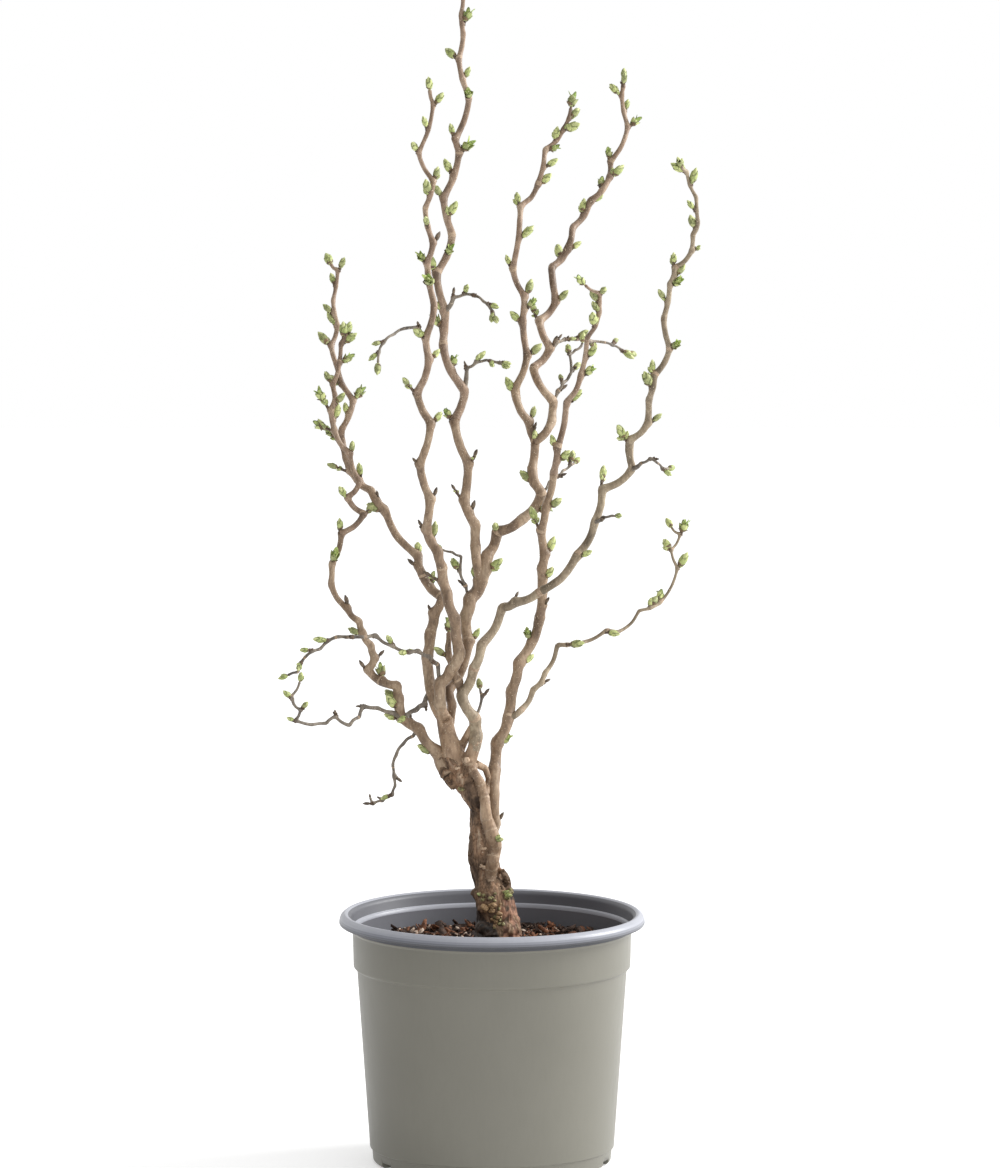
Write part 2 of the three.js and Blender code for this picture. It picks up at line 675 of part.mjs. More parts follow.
function isClear(bud, ownNode) {
  return !Object.keys(cutters).some((node) => node !== ownNode && overlaps(bud, cutters[node]))
    && !placedBuds.some(({ node, solid }) => node !== ownNode && overlaps(bud, solid));
}

pieces.forEach((piece) => {
  const found = budsOf(piece.limb, piece.first, piece.isSpray ? piece.last : piece.last - 1);
  (piece.twigs || []).forEach((twig) => found.push(...budsOf(twig, 0, twig.walk.length)));
  found.forEach((bud) => {
    const solid = budded(bud);
    if (isClear(solid, piece.node)) {
      piece.solid = piece.solid.add(solid);
      placedBuds.push({ node: piece.node, solid });
    }
  });
  solids[piece.node] = largest(piece.solid);
});

function kindOf(node) {
  if (node in COLOURS) {
    return node;
  }
  return node.endsWith("bough") ? "bough" : "spray";
}

function materialOf(node) {
  const kind = kindOf(node);
  return new THREE.MeshStandardMaterial({
    color: COLOURS[kind],
    roughness: kind === "pot" ? 0.5 : 0.8,
    metalness: 0,
  });
}

function meshOf(node, solid) {
  const { vertProperties, triVerts } = solid.getMesh();
  const geometry = new THREE.BufferGeometry();
  geometry.setAttribute("position", new THREE.BufferAttribute(new Float32Array(vertProperties), 3));
  geometry.setIndex(new THREE.BufferAttribute(new Uint32Array(triVerts), 1));
  geometry.computeVertexNormals();
  const mesh = new THREE.Mesh(geometry, materialOf(node));
  mesh.name = node;
  return mesh;
}

const plant = new THREE.Group();
plant.add(meshOf("pot", potSolid()));
plant.add(meshOf("compost", compostSolid()));
Object.entries(solids).forEach(([node, solid]) => plant.add(meshOf(node, solid)));

export default plant;
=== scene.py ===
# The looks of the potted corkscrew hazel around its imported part. Shapes are worked out in
# millimetres in the part's own frame, and become metres when each mesh is made.
import math

import bpy
import numpy as np
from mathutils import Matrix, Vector


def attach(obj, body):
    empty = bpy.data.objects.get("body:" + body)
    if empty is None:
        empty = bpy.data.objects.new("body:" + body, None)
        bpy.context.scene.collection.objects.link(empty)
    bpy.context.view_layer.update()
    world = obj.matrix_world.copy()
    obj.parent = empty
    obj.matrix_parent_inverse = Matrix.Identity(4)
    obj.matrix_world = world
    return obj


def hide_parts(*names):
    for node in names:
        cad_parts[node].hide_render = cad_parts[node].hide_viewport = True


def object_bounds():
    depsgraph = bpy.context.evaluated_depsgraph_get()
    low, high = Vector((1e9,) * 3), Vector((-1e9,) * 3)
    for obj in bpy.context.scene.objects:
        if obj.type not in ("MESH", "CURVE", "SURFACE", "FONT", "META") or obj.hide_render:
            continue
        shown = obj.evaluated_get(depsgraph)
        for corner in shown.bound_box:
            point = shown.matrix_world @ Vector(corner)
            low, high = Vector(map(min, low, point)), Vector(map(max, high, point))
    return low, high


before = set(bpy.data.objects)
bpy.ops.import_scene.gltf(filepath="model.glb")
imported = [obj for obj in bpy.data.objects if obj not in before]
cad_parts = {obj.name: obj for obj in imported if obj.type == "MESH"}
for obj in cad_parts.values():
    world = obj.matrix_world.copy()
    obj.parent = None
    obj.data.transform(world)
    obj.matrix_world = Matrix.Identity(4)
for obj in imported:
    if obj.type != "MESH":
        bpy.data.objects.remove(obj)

CAD_LOW, CAD_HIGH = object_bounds()
METRES = 0.001
BOX_LOW = np.array(CAD_LOW) / METRES
BOX_HIGH = np.array(CAD_HIGH) / METRES

# The eye that the limbs are described from, as in the part's source
EYE = np.array([0.0, -8000.0, 1509.0])
LOOKS_DOWN = 8.1
FOCAL = 8111.5
MIDDLE = 366.5
SQUASH = 0.986

# The wood and its buds, as in the part's source
SWING = 0.17
BOW = 0.2
SEED = 1863
BUD_LONG = 8.2
TWIG_BUD = 0.8
BUD_SCATTER = 1.4
LEAST_TILT = 24
TILT_SPREAD = 22
SPUR_LONG = 5.5
SPUR_THICK = 1.9
SIDES = {"l": [-1, 0, 0], "r": [1, 0, 0], "f": [0, -1, 0], "t": [0, 0, 1]}

# The pot and the compost, as in the part's source
RIM_WIDTH = 190
POT_HEIGHT = 156
WALL = 1.4
FLOOR_THICK = 2.2
RIM_ROLL = 3.4
LIP_DEPTH = 6.2
LEDGE_DEPTH = 10.5
NECK_INSET = 8.1
SHOULDER_DEPTH = 35
SHOULDER_STEP = 2.2
SHOULDER_INSET = 9
FOOT_STEP_HEIGHT = 9
FOOT_STEP = 1.9
BASE_WIDTH = 148
NOTCH_COUNT = 8
NOTCH_WIDTH = 11
NOTCH_HEIGHT = 3.6
NOTCH_REACH = 8
NOTCH_TURN = 0.62
COMPOST_DEPTH = 22.5
COMPOST_RISE = 3

# Heights and widths that follow from them
SURFACE = POT_HEIGHT - COMPOST_DEPTH
LEDGE = POT_HEIGHT - LEDGE_DEPTH
LIP = POT_HEIGHT - LIP_DEPTH
SHOULDER = POT_HEIGHT - SHOULDER_DEPTH
RIM = RIM_WIDTH / 2
BASE = BASE_WIDTH / 2

# Fineness of the meshes, and how sharply the wood turns at a bend, from 0 to 1
STEPS = 9
KINK = 0.5
BOUGH_SIDES = 18
TWIG_SIDES = 12
SPUR_SIDES = 8
CORE_SIDES = 10
TRUNK_SIDES = 28
TRUNK_VOXEL = 0.55
TRUNK_EASING = 3
BALL_ROWS = 12
BALL_SIDES = 16
COMPOST_ROWS = 46
COMPOST_SIDES = 180
POT_SIDES = 192
ARC_STEPS = 4

# Relief of a stem's skin: how large its lumps and wrinkles are, and how high beside its radius
LUMP = 4.2
WRINKLE = 1.3
WRINKLE_SHARE = 0.45
STEM_ROUGH = 0.06
SPUR_ROUGH = 0.1
SPUR_GRAIN = 0.6

# A bend: its knuckle, the two scars beside it as (height, place), and the one with its own colour
KNUCKLE = 0.15
KNUCKLE_LONG = 1.2
SCARS = [(0.07, 1.1), (0.05, -0.9)]
SCAR_WIDE = 0.4
SCAR_ABOVE = 1.0
SCAR_SHARE = 0.3

# A stem's ends: how slim it leaves the trunk, how it runs out at its tip, how a shoot's foot flares
ROOT_SLIM = 0.84
ROOT_GAIN = 0.2
TIP_STEPS = 3
TIP_LEAST = 0.5
FLARE_PLACES = [0, 1.2, 2.2]
FLARES = [1.7, 1.5, 1]
# The cushion under a bud, as a plain size and a share of the stem's radius
CUSHION_TALL = (0.6, 0.2)
CUSHION_WIDE = (1.1, 0.5)

# A bud of unit length: how wide it is at each height, and its scales, which lap round it in a spiral
BUD_HEIGHTS = [0.0, 0.1, 0.25, 0.45, 0.65, 0.82, 0.93, 1.0]
BUD_WIDTHS = [0.12, 0.17, 0.215, 0.225, 0.195, 0.13, 0.065, 0.0]
CORE_HEIGHTS = [0.0, 0.15, 0.35, 0.55, 0.72, 0.86, 0.95, 0.995]
SCALE_COUNT = 8
SCALE_ROWS = 6
SCALE_COLUMNS = 7
SCALE_TURN = math.radians(137.5)
SCALE_THICK = 0.022
SPLAYS = [0.0, 0.1, 0.3, 0.8]
SHUT_SPLAYS = 3
HUSKS = 2

# Where a bud sits, and its growth as a range that a seeded draw picks from, as others below
TIP_TILT = 8
BUD_SUNK = 0.8
BUD_GROWTH = (0.78, 1.18)

# A bud's state, its head, and how often it does what
ASLEEP, SHUT, LEAFY = range(3)
DORMANT_SIZE = 0.66
HEAD_GROWTH = 1.2
HEAD_SUNK = 0.8
PLUMP = (0.98, 1.18)
ASLEEP_PLUMP = (0.75, 0.95)
COLLAR_LONG = 1.7
COLLAR_THICK = 2.3
COLLAR_SHAPE = [1.35, 1.2, 1.0, 0.95, 1.1, 0.9]
COLLAR_FROM = -0.25
COLLAR_GROWTH = (0.7, 1.3)
NUB_SHARE = 0.55
NUB_LONG = 2.3
NUB_SHAPE = np.array([1.25, 1.25, 1])
NUB_PLACE = 0.4
NUB_LEAN = (0.6, 1.4)
NUB_GROWTH = (0.7, 1.4)
SPUR_LEAN = (0.7, 1.2)
SPUR_PLACE = (0.55, 0.8)
SPUR_HEAD = (0.5, 0.7)
LEAFY_SHARE = 0.3
LEAFY_SIZE = 0.85
LEAFY_CORE = 0.7
LEAFY_SCALES = 5
LEAFY_ROOM = 1.6
TWIN_SHARE = 0.4
TWIN_PLACE = 0.5
TWIN_LEAN = (0.5, 0.9)
TWIN_HEAD = (0.5, 0.75)
# The share of sleeping buds at each height, and the twig whose last buds all sleep
ASLEEP_HEIGHTS = [250, 420, 560]
ASLEEP_SHARES = [0.3, 0.16, 0.02]
DOZING_TWIG = "hanging_twig"
DOZES_FROM = 7.5

# A young leaf: its grid, how wide it is from its foot to its tip, and how it stands on its bud
LEAF_ROWS = 8
LEAF_COLUMNS = 7
LEAF_WIDTHS = [0.5, 0.8, 0.97, 1.0, 0.98, 0.88, 0.66, 0.28]
LEAF_THICK = 0.16
LEAF_LONG = (0.66, 0.84)
LEAF_WIDE = (2.7, 3.8)
LEAF_CURL = (0.2, 0.65)
LEAF_TURN = (110, 140)
LEAF_OUT = 0.09
LEAF_UP = 0.16

# The bud scales are split this far to each side of the middle, so that no piece is too large
THIRD = 37

# Places in each piece's list of materials, for the faces of the crown, the trunk and the pot
OLIVE_KIND, SCAR_KIND, COLLAR_KIND = 1, 2, 3
HUSK_KIND, DORMANT_KIND, EDGE_KIND = 3, 4, 5
LEAF_EDGE_KIND = 2
# Kinds of the trunk's faces: its foot kind and its crease kind are painted shade, the others are barks
FLAKY, SMOOTH, FOOT_SHADE, CREASE_SHADE, RUST, RING = range(6)
# Kinds of the pot's faces: the neck, the rim's lower and side bands and the inner band are painted shade,
# and the rim's kind also paints a highlight on the inner ledge
OUTSIDE, RIM_AND_LEDGE_HIGHLIGHT, INSIDE, NECK_SHADE, RIM_LOW_SHADE, RIM_SIDE_SHADE, BAND_SHADE = range(7)

# Which limbs stand on the trunk, and which wear olive or smooth bark
ROOTED = ("centre", "left_centre", "left", "low_left", "right", "far_right")
OLIVE = ("far_right", "low_right")
SMOOTH_STRANDS = ("front", "bridge", "left_leg")
SMOOTH_FEET = ("right", "far_right")
FOOT_SWELL = 1.7
FOOT_SLIM = 0.85

# Where the trunk's barks and its painted shade lie: by height, by distance to the right, and by how deep a
# hollow is
FORK_HEIGHT = 254
FORK_RAGGED = 14
RUST_HEIGHT = 164
RUST_ACROSS = 6
RUST_RAGGED = (5, 3)
FOOT_SHADE_HEIGHT = 152
FOOT_SHADE_RAGGED = 5
# How fast the upper edge of the painted shade on the trunk's foot falls to the right, towards the key light,
# and how much faster from a place onwards
FOOT_SHADE_FALL = 0.9
FOOT_SHADE_STEEPER = 1.6
FOOT_SHADE_STEEPER_FROM = 3
SOIL_LEVEL = SURFACE - 1.6
RING_EVERY = 18
# A hollow's depth: from where it counts as a crease, over how much it deepens, how far the skin sinks in it,
# and from which depth it gets painted shade
CREASE_LEAST = 0.03
CREASE_SPREAD = 0.05
CREASE_DEEP = 0.7
CREASE_SHADE_FROM = 0.6
HOLLOW_ROUNDS = 4

# Reliefs of the trunk's barks and of the painted shade in its creases as (size of the lumps, seed), and the
# least value at which rust and that painted shade show
BLOTCHES = ([5, 5, 7], 21)
RUST_SPOTS = ([3, 3, 4], 23)
CREASE_SHADE_SPOTS = ([5, 5, 8], 22)
RUST_LEAST = -0.25
SPOT_LEAST = -0.5
PLATES = ([3.4, 3.4, 7.5], 11)
FISSURES = ([2.6, 2.6, 9.0], 12)
GRIT = ([0.9, 0.9, 1.6], 13)
WRINKLES = ([3.5, 3.5, 1.1], 14)
# How high the others stand on each bark
FLAKY_PLATES, FLAKY_FISSURES, FLAKY_GRIT = 0.42, 0.7, 0.2
SMOOTH_WRINKLES, SMOOTH_GRIT, SMOOTH_PLATES = 0.1, 0.08, 0.1

# A burr or knob: how lumpy it is and how far it is squashed; and how near the skin must be to one
BALL_LUMPS = (0.25, 0.7)
BURR_SQUASH = 0.8
KNOB_SUNK = 0.25
KNOB_GROWTH = (0.65, 1.25)
KNOB_SQUASH = (0.75, 1.05)
SKIN_REACH = 0.9

# Each limb is a walk of internodes, [length, lean], as seen from the front, with the same words
# as in the part's source: foot or from, back, thick, mass, hand and buds. Its hand is 1 or stated.
LIMBS = {
  "centre": {
    "foot": [-27, 270], "back": [4, 9, 14, 17, 20, 24], "thick": [5.4, 5.2, 6.4, 8.0, 6.2, 5.8, 5.2],
    "walk": [[17, 7], [10, -10], [17, 29], [16, 13], [15, -7], [12, 15], [13, 31], [16, 13],
      [17, 24], [17, 62], [20, 36], [16, -20], [18, 6]],
    "buds": "---l---r-----lr--l--r-l--",
  },
  "leader": {
    "from": ["centre", 7], "back": [17, 22, 26, 30], "thick": [6.0, 5.4, 4.7, 3.7, 2.4], "mass": 5,
    "hand": -1,
    "walk": [[22, -9], [14, -1], [17, -22], [23, 5], [28, -17], [20, 17], [31, -25], [22, 3],
      [24, -12], [26, 21], [24, -12], [30, 18], [9, -11], [27, 17], [25, -14], [16, 9],
      [12, -6], [11, 7]],
    "buds": "----rL-R-l--r-ll-lf-rllr-l-frl--r--",
  },
  "left_centre": {
    "foot": [-29, 278], "back": [-3, -7, -16, -26, -38, -50, -58],
    "thick": [7.0, 6.6, 5.8, 4.8, 4.2, 3.2, 2.2], "mass": 13,
    "walk": [[11, -18], [12, 1], [11, 39], [12, 24], [21, -7], [17, -17], [17, -11], [10, -14],
      [16, -26], [19, 6], [23, -15], [26, 14], [21, -22], [22, 18], [14, -7], [21, 14],
      [27, -9], [13, 15], [22, -12], [18, 15], [20, -25], [31, 16], [10, -12]],
    "buds": "------------L---rl-r-l-r-L-r-l--fl-rf-lr-llr-",
  },
  "left": {
    "foot": [-29, 276], "back": [3, 7, 16, 28, 40, 52, 64],
    "thick": [6.8, 6.4, 5.0, 4.4, 3.6, 2.9, 1.9], "mass": 9, "hand": -1,
    "walk": [[22, -23], [21, -7], [15, 7], [13, 12], [11, 23], [18, -40], [13, -16], [35, -35],
      [15, -35], [10, -52], [16, -28], [18, -9], [20, 20], [24, -24], [13, -15], [13, 16],
      [16, -9], [19, 8], [6, -45]],
    "buds": "-------l--r-lr-lr--rL-L-lrl--l-ll-lr-",
  },
  "low_left": {
    "foot": [-28, 243], "back": [-2, 0, 5, 10, 16, 24, 32, 38],
    "thick": [7.0, 5.6, 5.0, 4.2, 3.8, 3.6, 3.5, 3.3, 2.9, 2.2], "mass": 15,
    "walk": [[16, -22], [18, -38], [13, -56], [12, -9], [8, -9], [10, -74], [11, -46], [8, 25],
      [8, -15], [9, -32], [8, -19], [11, -42], [18, -33], [13, 2], [20, 18], [18, 47],
      [14, -42], [12, 35], [19, -19], [17, -32], [13, -10], [9, 16], [8, -9], [14, 16], [12, 5],
      [7, 32]],
    "buds": "rl-lrlll---t-l-r---l---r---f-l-r-l---r-LrLr--l-r-rl",
  },
  "inner_right": {
    "from": ["centre", 13], "back": [28, 36, 46], "thick": [5.0, 4.4, 3.8, 3.2, 2.2], "mass": 4,
    "walk": [[13, -18], [17, -27], [7, -2], [21, 19], [21, -7], [16, 3], [19, -21], [39, 7],
      [18, 36], [22, 12], [17, 41], [15, 19]],
    "buds": "rr--l--r-lrr-lrl-rrrlrr",
  },
  "right_centre": {
    "from": ["centre", 13], "back": [44, 68, 90, 110], "thick": [5.2, 4.8, 4.2, 3.4, 2.2], "mass": 3,
    "hand": -1,
    "walk": [[16, 39], [13, 4], [24, -30], [16, 38], [18, -19], [16, 37], [21, -6], [15, 39],
      [14, 15], [20, 33], [19, 38], [10, 6], [24, 25], [20, -10], [11, 6]],
    "buds": "-------r-L-r--lr--lrlr-l-rrlf",
  },
  "right": {
    "foot": [-3, 200], "back": [2, 9, 12, 10, 6, -6, -22, -38, -52],
    "thick": [7.4, 6.8, 6.2, 5.6, 4.8, 4.0, 2.8, 1.7], "mass": 13,
    "walk": [[13, 17], [33, 1], [18, 5], [17, 25], [17, 7], [19, 14], [30, 25], [18, 6], [14, -2],
      [9, 11], [15, -7], [15, 10], [22, 13], [16, 9], [29, 11], [19, 27], [24, 10], [18, 25],
      [12, 1], [11, -60]],
    "buds": "-r---r-----rl-r-r--r-L-r--rl-r-rr-lllr-",
  },
  "low_right": {
    "from": ["right", 4], "back": [20, 36, 48], "thick": [4.2, 2.9, 2.1, 1.8, 1.4], "mass": 4, "hand": -1,
    "walk": [[9, 58], [15, 31], [13, 35], [19, 24], [12, 84], [20, 66], [8, 94], [18, 44],
      [14, 68], [24, 26], [12, -16], [11, 27], [7, -48]],
    "buds": "----r---l--r----ll-r-l-r-",
  },
  "far_right": {
    "foot": [-14, 253], "back": [-4, -8, -14, -26, -44, -62, -80, -95],
    "thick": [8.0, 6.2, 5.2, 5.0, 4.6, 4.0, 3.5, 3.0, 2.5, 1.7], "mass": 9, "hand": -1,
    "walk": [[15, 16], [11, -4], [17, -28], [18, 24], [16, 18], [26, 29], [9, 66], [17, 66],
      [32, 45], [24, 28], [21, 14], [22, 54], [13, -7], [6, 11], [15, 44], [14, 3], [16, 13],
      [19, 28], [19, -10], [22, 10], [11, 17], [15, 43], [10, 5], [8, 22], [16, -4], [17, -20],
      [5, -43]],
    "buds": "-------------l---r---L----L--r--ll-r--lrrl-r--l-l-rl-",
  },
  "inner_stub": {
    "from": ["far_right", 3], "back": [-1, 2], "thick": [4.6, 4.2, 3.0],
    "walk": [[9, -12], [11, -23], [11, -13], [10, 3]],
    "buds": "-l--l--",
  },
}

TWIGS = {
  "twig_on_left_centre": {
    "from": ["left_centre", 15], "back": [-52, -64], "thick": [1.9, 1.4],
    "walk": [[8, -37], [8, -95], [8, -118], [8, -129], [7, -154], [7, -175]],
    "buds": "-r-----l-l-",
  },
  "twig_on_leader": {
    "from": ["leader", 8], "back": [10, -4], "thick": [2.0, 1.3], "hand": -1,
    "walk": [[10, 33], [7, 72], [6, 97], [7, 124], [6, 136], [6, 152]],
    "buds": "-l-t-f--r-l",
  },
  "low_twig_on_leader": {
    "from": ["leader", 6], "back": [10, 0], "thick": [2.0, 1.3],
    "walk": [[14, 7], [7, 56], [6, 79], [6, 101], [5, 112]],
    "buds": "-l-t--l-r",
  },
  "twig_on_right_centre": {
    "from": ["right_centre", 4], "back": [66, 84], "thick": [2.0, 1.3],
    "walk": [[6, 52], [5, 70], [7, 89], [9, 98], [8, 95], [6, 107], [7, 121], [5, 109]],
    "buds": "-t-f-t-l---t-f-",
  },
  "twig_on_far_right": {
    "from": ["far_right", 12], "back": [-60, -48], "thick": [1.9, 1.3], "hand": -1,
    "walk": [[7, 58], [6, 63], [5, 119], [5, 138], [4, 90]],
    "buds": "---r---f-",
  },
  "low_twig_on_far_right": {
    "from": ["far_right", 10], "back": [-50, -56], "thick": [1.8, 1.3],
    "walk": [[6, 62], [5, 78], [3, 93]],
    "buds": "-f---",
  },
  "fork_twig": {
    "from": ["right_centre", 2], "back": [44, 52], "thick": [1.9, 1.3],
    "walk": [[7, 25], [6, 34], [6, 41], [4, 21], [5, -5], [5, -7], [4, 52], [4, 59], [3, 22]],
    "buds": "-r-l---r---l-----",
  },
  "crossing_twig": {
    "from": ["centre", 11], "back": [32, 40], "thick": [1.8, 1.3], "hand": -1,
    "walk": [[9, 35], [6, 53], [5, 47], [6, 52], [3, 64]],
    "buds": "---r---l-",
  },
  "inner_twig": {
    "from": ["centre", 6], "back": [12, 10], "thick": [2.0, 1.3],
    "walk": [[9, -18], [10, -21], [9, 4], [6, -64], [7, -75]],
    "buds": "-l-l-----",
  },
  "long_left_twig": {
    "from": ["left_centre", 2], "back": [-12, -26, -44], "thick": [2.6, 2.2, 2.0, 1.5],
    "walk": [[12, -7], [7, -46], [8, -62], [6, -97], [11, -69], [12, -57], [6, -99], [18, -90],
      [13, -125], [10, -118], [11, -153], [7, -110]],
    "buds": "--f--l-f-r-l--f-l-l-f--",
  },
  "low_left_twig": {
    "from": ["low_left", 3], "back": [-20, -48, -72], "thick": [2.6, 2.1, 1.9, 1.5], "hand": -1,
    "walk": [[6, -63], [10, -73], [9, -84], [7, -157], [8, -130], [10, -59], [7, -124], [9, -96],
      [10, -74], [7, 20], [6, -45], [5, -7], [10, 28]],
    "buds": "-----l-----t-----l-r--l--",
  },
  "hanging_twig": {
    "from": ["low_left", 2], "back": [14, 34], "thick": [2.0, 1.8, 1.4],
    "walk": [[6, -140], [8, -129], [8, -148], [7, -162], [7, 174], [6, 174], [6, -163], [7, -120],
      [6, -107], [4, -27]],
    "buds": "---------r---l-t-l-",
  },
  "link_twig": {
    "from": ["left", 1], "back": [-6, -8], "thick": [3.0, 2.8],
    "walk": [[10, -153], [6, -125], [8, -123]],
    "buds": "-r---",
  },
  "dead_twig": {
    "from": ["far_right", 2], "back": [4, 8], "thick": [2.0, 1.3],
    "walk": [[15, 17], [5, -14]],
    "buds": "-r-",
  },
}

STRANDS = {
  "main": {
    "foot": [3, 137], "back": [0, 1, 2, 1, 0, 0],
    "thick": [30, 24, 18, 19.4, 15.8, 12, 15.4, 14, 11, 10],
    "walk": [[20, -2], [18, -14], [17, -11], [18, -2], [14, -7], [17, -28], [16, -26], [16, -18],
      [11, -10]],
  },
  "front": {
    "foot": [-14, 253], "back": [-4, -6, -8, -9, -9, -8, -6, -4],
    "thick": [7.6, 5.6, 5.8, 6.6, 8.2, 8.4, 8.2, 8, 8],
    "walk": [[8, 163], [9, 148], [10, 166], [12, 176], [9, 160], [9, 163], [7, 188], [7, 192],
      [9, 184]],
  },
  "stump": {
    "foot": [11, 140], "back": [2, 3, 3], "thick": [16, 11, 7],
    "walk": [[22, -6], [14, -12]],
  },
  "arch": {
    "foot": [1, 184], "back": [-1, -2, -3, -4], "thick": [4.4, 3.8, 3.8, 4.8],
    "walk": [[6, 105], [6, 150], [8, 175]],
  },
  "left_knot": {
    "foot": [-22, 236], "back": [0, -2], "thick": [8, 6.4],
    "walk": [[9, -46]],
  },
  "left_leg": {
    "foot": [-21, 256], "back": [2, 0, -3], "thick": [6, 5, 4.6],
    "walk": [[9, 25], [10, 28]],
  },
  "bridge": {
    "foot": [-10, 250], "back": [-2, 2, 3, -4], "thick": [5, 4, 3.8, 4.4],
    "walk": [[6.6, 118], [7, 162], [9, 190]],
  },
}

BURRS = [
  [10, 170, -4, 3.4], [-4, 159, -7, 5.2], [3, 154, -8, 4.6], [12, 151, 0, 5.4], [-9, 168, -2, 4.4],
  [-1, 185, -4, 5], [-14, 253, -5, 5.2], [-3, 146, -4, 7.4], [4, 146, -5, 8], [10.5, 145, -4, 7.4],
  [-3.5, 138, -5, 8], [4.5, 137, -6, 9], [11, 137, -4, 8], [6.6, 177.5, 1, 3],
]

# Where the trunk's knobs crowd: [across, up], how wide and tall the patch is, how many, their radius,
# and their colour: 0 for yellow-green, 1 for orange tan, 2 for brown, 3 for pale
KNOB_GROUPS = [
  (-3, 168.8, 12, 4.4, 8, 1.2, 0), (-2, 167.5, 13, 5, 7, 1.0, 2), (10, 169.6, 5, 6, 7, 1.5, 0),
  (-3, 160.8, 8, 4.5, 14, 1.6, 1), (2.6, 156.5, 7, 15, 14, 1.2, 1), (3.5, 156, 6, 14, 10, 1.1, 0),
  (8.5, 178, 5, 10, 10, 1.1, 2), (-6.4, 187, 2, 3, 3, 1.1, 3), (-15, 193.5, 2, 2, 2, 1.1, 2),
  (-15.9, 254.5, 3, 2, 3, 1.6, 3), (-19.9, 235.5, 3, 2, 3, 1.3, 0), (-21, 246, 5, 9, 5, 0.9, 3),
  (-6, 201, 6, 13, 6, 0.8, 3), (-26, 239, 3, 4, 4, 1.3, 2), (4, 217, 4, 6, 4, 0.9, 2),
]

# Buds on the trunk itself: [across, up], how far each leans to the right, and its length
TRUNK_BUDS = [
  (3.2, 204, 80, 5.5), (3, 205, 42, 4.6), (8.4, 168.6, 84, 5.5), (8, 170.2, 50, 4.2),
  (-8, 168, -50, 3.2),
]

# Sorts of bark on the compost: how many, shortest and longest, width as a share of length, thickness
CHIP_SORTS = [
  (1500, 1.0, 3.0, 0.7, 0.7), (900, 3.0, 7.0, 0.45, 0.9), (300, 6.0, 12.0, 0.42, 1.1),
  (80, 10.0, 17.0, 0.36, 1.4), (220, 6.0, 15.0, 0.06, 0.5),
]
# Dark, reddish and pale chips as often as they come, and the length from which none is pale
CHIP_KINDS = (0, 0, 0, 0, 0, 1, 1, 2)
PALE_LONGEST = 7.5
CHIP_CORNERS = 6
CHIP_GROWTH = (0.6, 1.4)
CHIP_LIFT = (0.2, 1.6)
TRUNK_FOOT = (3.5, 1, 0)
SEAT_CLEAR = 13.5
SEAT_RAGGED = 5
# The compost's gap to the wall, and its lumps as (height, size, seed)
COMPOST_GAP = 0.6
COMPOST_LUMPS = [(1.1, 9, 3), (0.9, 3.4, 4), (0.5, 1.5, 5)]

# The bands of painted shade on the pot's rim and under its lip, how far in from the roll the lip reaches,
# and how high the painted highlight on the inner ledge stands
LIP_SHADE = 0.4
LIP_INWARDS = 2.4
LEDGE_HIGHLIGHT_TOP = 2.2
RIM_BANDS = [1.6, 3.0]

# The studio: strengths of sky, key light and floor, and where the sky is dim
SKY = 1.0
KEY = 80
KEY_SIZE = 1.4
KEY_PLACE = (2.2, 0.45, 1.5)
KEY_AIM = (0, 0, 0.25)
FLOOR_GLOW = 0.42
FLOOR_SIZE = 7
FLOOR_LOW = -0.0006
DIM_SIDE = (-1.0, -0.3, 0.12)
DIM_SPREAD = (0.62, 0.84)
DIM = (48.4, 48.4, 48.4)
WHITE = (255, 255, 255)
BLACK = (0, 0, 0)
# Where a mix node keeps the sockets of a colour
MIX_SHARE, MIX_FIRST, MIX_SECOND, MIX_RESULT = 0, 6, 7, 2

# The camera, in millimetres on a sensor of common width
LENS = 402.66
SENSOR = 36
SHIFT = (0.00685, -0.01164)

# Materials by name, in screen values. Barks: pale, middle and dark colour, and roughness
PORES = (206, 190, 166)
BARKS = {
  "young_bark": ((174, 153, 129), (149, 126, 103), (108, 89, 72), 0.5),
  "olive_bark": ((178, 163, 138), (150, 134, 112), (110, 98, 80), 0.5),
  "shoot_bark": ((175, 154, 132), (150, 126, 106), (112, 93, 77), 0.45),
  "twig_bark": ((152, 141, 126), (120, 111, 100), (83, 77, 71), 0.55),
  "smooth_bark": ((186, 160, 133), (158, 132, 107), (112, 91, 74), 0.55),
}
OLD_BARK = [
  (0.3, (58, 46, 38)), (0.42, (100, 81, 66)), (0.52, (138, 114, 92)), (0.6, (154, 122, 96)),
  (0.7, (182, 160, 137)),
]
